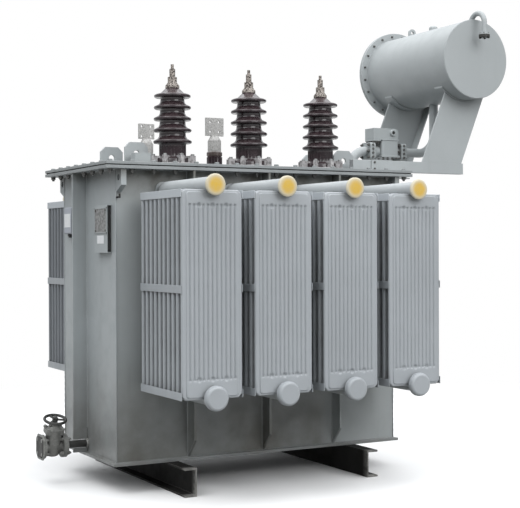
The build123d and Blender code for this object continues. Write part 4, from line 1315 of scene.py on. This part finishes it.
def bar_foot():
    """The left end bar's foot, notched beside the drain pipe."""
    reach = wall_left - end_bars_low.x
    bottom = wall_low
    top = end_bars_low.z
    low_notch, high_notch = bar_foot_notch
    outline = [
        (0, bottom),
        (-reach, bottom),
        (-reach, low_notch),
        (-bar_foot_web, low_notch),
        (-bar_foot_web, high_notch),
        (-reach, high_notch),
        (-reach, top),
        (0, top),
    ]
    mesh = Mesh()
    middle = (end_bars_low.y + end_bars_high.y) / 2
    mesh.prism((wall_left, middle, 0), (1, 0, 0), (0, 0, 1), outline, bar_thickness)
    piece("end_bar_foot", mesh, tank_grey, soften=node_edge)


def nameplate_box():
    """Corners of the nameplate, as wide as its bracket."""
    low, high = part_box("nameplate")
    bracket_low, bracket_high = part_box("nameplate_bracket")
    low.y = bracket_low.y
    high.y = bracket_high.y
    return low, high


def nameplate_details():
    """The bare plate in its frame, and a dark pad in its bracket as painted shade in the bracket's open gap.
    """
    low, high = nameplate_box()
    plate = Mesh()
    plate.box(low, high)
    piece("nameplate_sheet", plate, plate_metal, stands_for=["nameplate"], soften=sheet_edge)
    frames = Mesh()
    for y0, y1, z0, z1 in (
        (low.y, high.y, high.z - frame_width, high.z),
        (low.y, high.y, low.z, low.z + frame_width),
        (low.y, low.y + frame_width, low.z, high.z),
        (high.y - frame_width, high.y, low.z, high.z),
    ):
        frames.box((low.x - frame_depth, y0, z0), (low.x, y1, z1))
    piece("nameplate_frame", frames, drum_grey)
    bracket_low, bracket_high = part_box("nameplate_bracket")
    # Dark pad, painted shade in the bracket's open gap
    shade_pad = Mesh()
    shade_pad_low = bracket_low + Vector((shade_pad_sink, shade_pad_setback, shade_pad_setback))
    shade_pad.box(shade_pad_low, bracket_high - Vector((0, shade_pad_setback, shade_pad_setback)))
    piece("nameplate_shade_pad", shade_pad, gasket_rubber, soften=plate_edge)


def case_box():
    """Corners of the terminal box's shallow case."""
    low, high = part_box("terminal_box")
    low.x = wall_left - box_depth
    return low, high


def terminal_box_details():
    """The terminal box's case and its lid."""
    low, high = case_box()
    case = Mesh()
    case.box(low, high)
    piece("terminal_box_case", case, case_grey, stands_for=["terminal_box"], soften=case_edge)
    lid = Mesh()
    lid_low = (low.x - lid_depth, low.y + lid_inset, low.z + lid_inset)
    lid.box(lid_low, (low.x, high.y - lid_inset, high.z - lid_inset))
    piece("terminal_box_lid", lid, case_grey, soften=case_edge)


def end_wall_labels():
    """Bare labels on the nameplate's bracket and on the box's lid, and the nameplate's rivets."""
    labels = Mesh()
    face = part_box("nameplate_bracket")[0].x
    (near, bottom), (far, top) = label_span
    labels.box((face - label_thickness, near, bottom), (face, far, top))
    low, high = case_box()
    face = low.x - lid_depth
    beside, end = box_label_inset
    label_low = (face - label_thickness, low.y + beside, low.z + end)
    labels.box(label_low, (face, high.y - beside, high.z - end))
    piece("end_wall_labels", labels, label_white)
    rivets = Mesh()
    low, high = nameplate_box()
    for y in (low.y + rivet_inset, high.y - rivet_inset):
        for z in (low.z + rivet_inset, high.z - rivet_inset):
            rivets.bolt((low.x, y, z), (-1, 0, 0), bolt_m6)
    piece("end_wall_rivets", rivets, dark_zinc)


def terminal_box_gland():
    """Cable gland under the terminal box."""
    low, high = case_box()
    under = Vector(((low.x + wall_left) / 2, (low.y + high.y) / 2, low.z))
    neck = box_gland_radius * box_gland_neck_share
    gland = Mesh()
    gland.lathe(under, (0, 0, -1), [
        (0, 0),
        (box_gland_radius, 0),
        (box_gland_radius, box_gland_drop * box_gland_shoulder_share),
        (neck, box_gland_drop * box_gland_neck_share),
        (neck, box_gland_drop),
        (0, box_gland_drop),
    ], 20)
    piece("terminal_box_gland", gland, gasket_rubber)


def corner_hook():
    """Bent bar at the tank's near corner."""
    root = Vector((wall_left, wall_front, hook_level))
    tip = root - Vector((0, hook_reach, 0))
    hook = Mesh()
    hook.box(tip, root + Vector((hook_bar, 0, hook_bar)))
    hook.box(tip, tip + Vector((hook_bar, hook_bar, hook_tip_height)))
    piece("corner_hook", hook, skid_grey, soften=plate_edge)


def stage():
    """A pale floor that keeps the shadow and fades into a white surround."""
    floor_radius = 40.0
    floor_depth = 0.01
    fade_start = 2.2
    fade_end = 5.0
    floor_pale = (0.90, 0.90, 0.90, 1)
    floor_dull = (0.13, 0.13, 0.125, 1)
    edge = [(floor_radius, 0), (floor_radius, floor_depth)]
    mesh = Mesh()
    mesh.lathe((0, 0, -floor_depth), (0, 0, 1), [(0, 0), *edge, (0, floor_depth)], 64)
    data = bpy.data.meshes.new("floor")
    data.from_pydata(mesh.points, [], mesh.faces)
    floor = bpy.data.objects.new("floor", data)
    scene.collection.objects.link(floor)
    s = Shader("floor_pale")
    place = s.node("SeparateXYZ", {"Vector": s.node("NewGeometry").outputs["Position"]}).outputs
    flat = s.node("CombineXYZ", {"X": place["X"], "Y": place["Y"]}).outputs["Vector"]
    distance = s.node("VectorMath", {0: flat}, operation="LENGTH").outputs["Value"]
    far = s.ramp(distance, fade_start, fade_end)
    path = s.node("LightPath").outputs
    seen = s.most(path["Is Camera Ray"], s.most(path["Is Glossy Ray"], path["Is Transmission Ray"]))
    glow = s.node("Emission", {"Color": (1, 1, 1, 1), "Strength": 1.0}).outputs["Emission"]
    pale = s.node("BsdfDiffuse", {"Color": floor_pale}).outputs["BSDF"]
    dull = s.node("BsdfDiffuse", {"Color": floor_dull}).outputs["BSDF"]
    shown = s.node("MixShader", {0: far, 1: pale, 2: glow}).outputs["Shader"]
    mixed = s.node("MixShader", {0: seen, 1: dull, 2: shown}).outputs["Shader"]
    s.put(s.tree.nodes["Material Output"].inputs["Surface"], mixed)
    data.materials.append(s.material)


def area_light(name, place, target, size, power):
    """A large soft lamp that faces a point."""
    lamp = bpy.data.lights.new(name, "AREA")
    lamp.shape = "SQUARE"
    lamp.size = size
    lamp.energy = power
    made = bpy.data.objects.new(name, lamp)
    made.location = place
    made.rotation_euler = (Vector(target) - Vector(place)).to_track_quat("-Z", "Y").to_euler()
    scene.collection.objects.link(made)


def lights():
    """An even sky, brightest overhead, and three large lamps."""
    sky_start = -0.1
    sky_low = 0.34
    sky_high = 1.70
    sky_tint = (0.96, 0.98, 1.0, 1)
    world = bpy.data.worlds.new("studio")
    scene.world = world
    world.use_nodes = True
    tree = world.node_tree
    tree.nodes.clear()
    ray = tree.nodes.new("ShaderNodeTexCoord")
    split = tree.nodes.new("ShaderNodeSeparateXYZ")
    tree.links.new(ray.outputs["Generated"], split.inputs[0])
    sky = tree.nodes.new("ShaderNodeMapRange")
    sky.interpolation_type = "SMOOTHSTEP"
    for index, value in ((1, sky_start), (2, 1.0), (3, sky_low), (4, sky_high)):
        sky.inputs[index].default_value = value
    tree.links.new(split.outputs["Z"], sky.inputs["Value"])
    soft = tree.nodes.new("ShaderNodeBackground")
    tree.links.new(sky.outputs["Result"], soft.inputs["Strength"])
    soft.inputs["Color"].default_value = sky_tint
    white = tree.nodes.new("ShaderNodeBackground")
    white.inputs["Color"].default_value = (1, 1, 1, 1)
    path = tree.nodes.new("ShaderNodeLightPath")
    mix = tree.nodes.new("ShaderNodeMixShader")
    tree.links.new(path.outputs["Is Camera Ray"], mix.inputs[0])
    tree.links.new(soft.outputs[0], mix.inputs[1])
    tree.links.new(white.outputs[0], mix.inputs[2])
    output = tree.nodes.new("ShaderNodeOutputWorld")
    tree.links.new(mix.outputs[0], output.inputs["Surface"])
    area_light("key", place=(1.2, -7.0, 5.4), target=(0.0, 0.0, 1.3), size=5.0, power=260.0)
    area_light("fill", place=(-4.6, -2.0, 6.6), target=(-0.9, 0.0, 1.2), size=3.5, power=128.0)
    area_light("overhead", place=(0.8, 0.4, 6.6), target=(0.4, 0.0, 1.5), size=6.0, power=100.0)


def camera():
    """The camera that took the photograph."""
    level_share = cos(camera_pitch)
    forward = Vector((sin(camera_yaw) * level_share, cos(camera_yaw) * level_share, sin(camera_pitch)))
    level = Vector((cos(camera_yaw), -sin(camera_yaw), 0))
    upright = level.cross(forward)
    right = level * cos(camera_roll) + upright * sin(camera_roll)
    up = upright * cos(camera_roll) - level * sin(camera_roll)
    data = bpy.data.cameras.new("camera")
    data.sensor_width = sensor_width
    data.lens = sensor_width * focal_pixels / image_width
    data.clip_end = camera_limit
    made = bpy.data.objects.new("camera", data)
    turn = Matrix((right, up, -forward)).transposed().to_4x4()
    made.matrix_world = Matrix.Translation(camera_place) @ turn
    scene.collection.objects.link(made)
    scene.camera = made


dress_frame()
cover_bolts()
weld_beads()
radiators()
hv_bushings()
lv_bushings()
vent_caps()
conservator_details()
relay_details()
beam_feet()
drain_blind()
drain_valve_bolts()
drain_stub()
bar_foot()
nameplate_details()
terminal_box_details()
end_wall_labels()
terminal_box_gland()
corner_hook()
stage()
lights()
camera()
scene.view_settings.view_transform = "Standard"
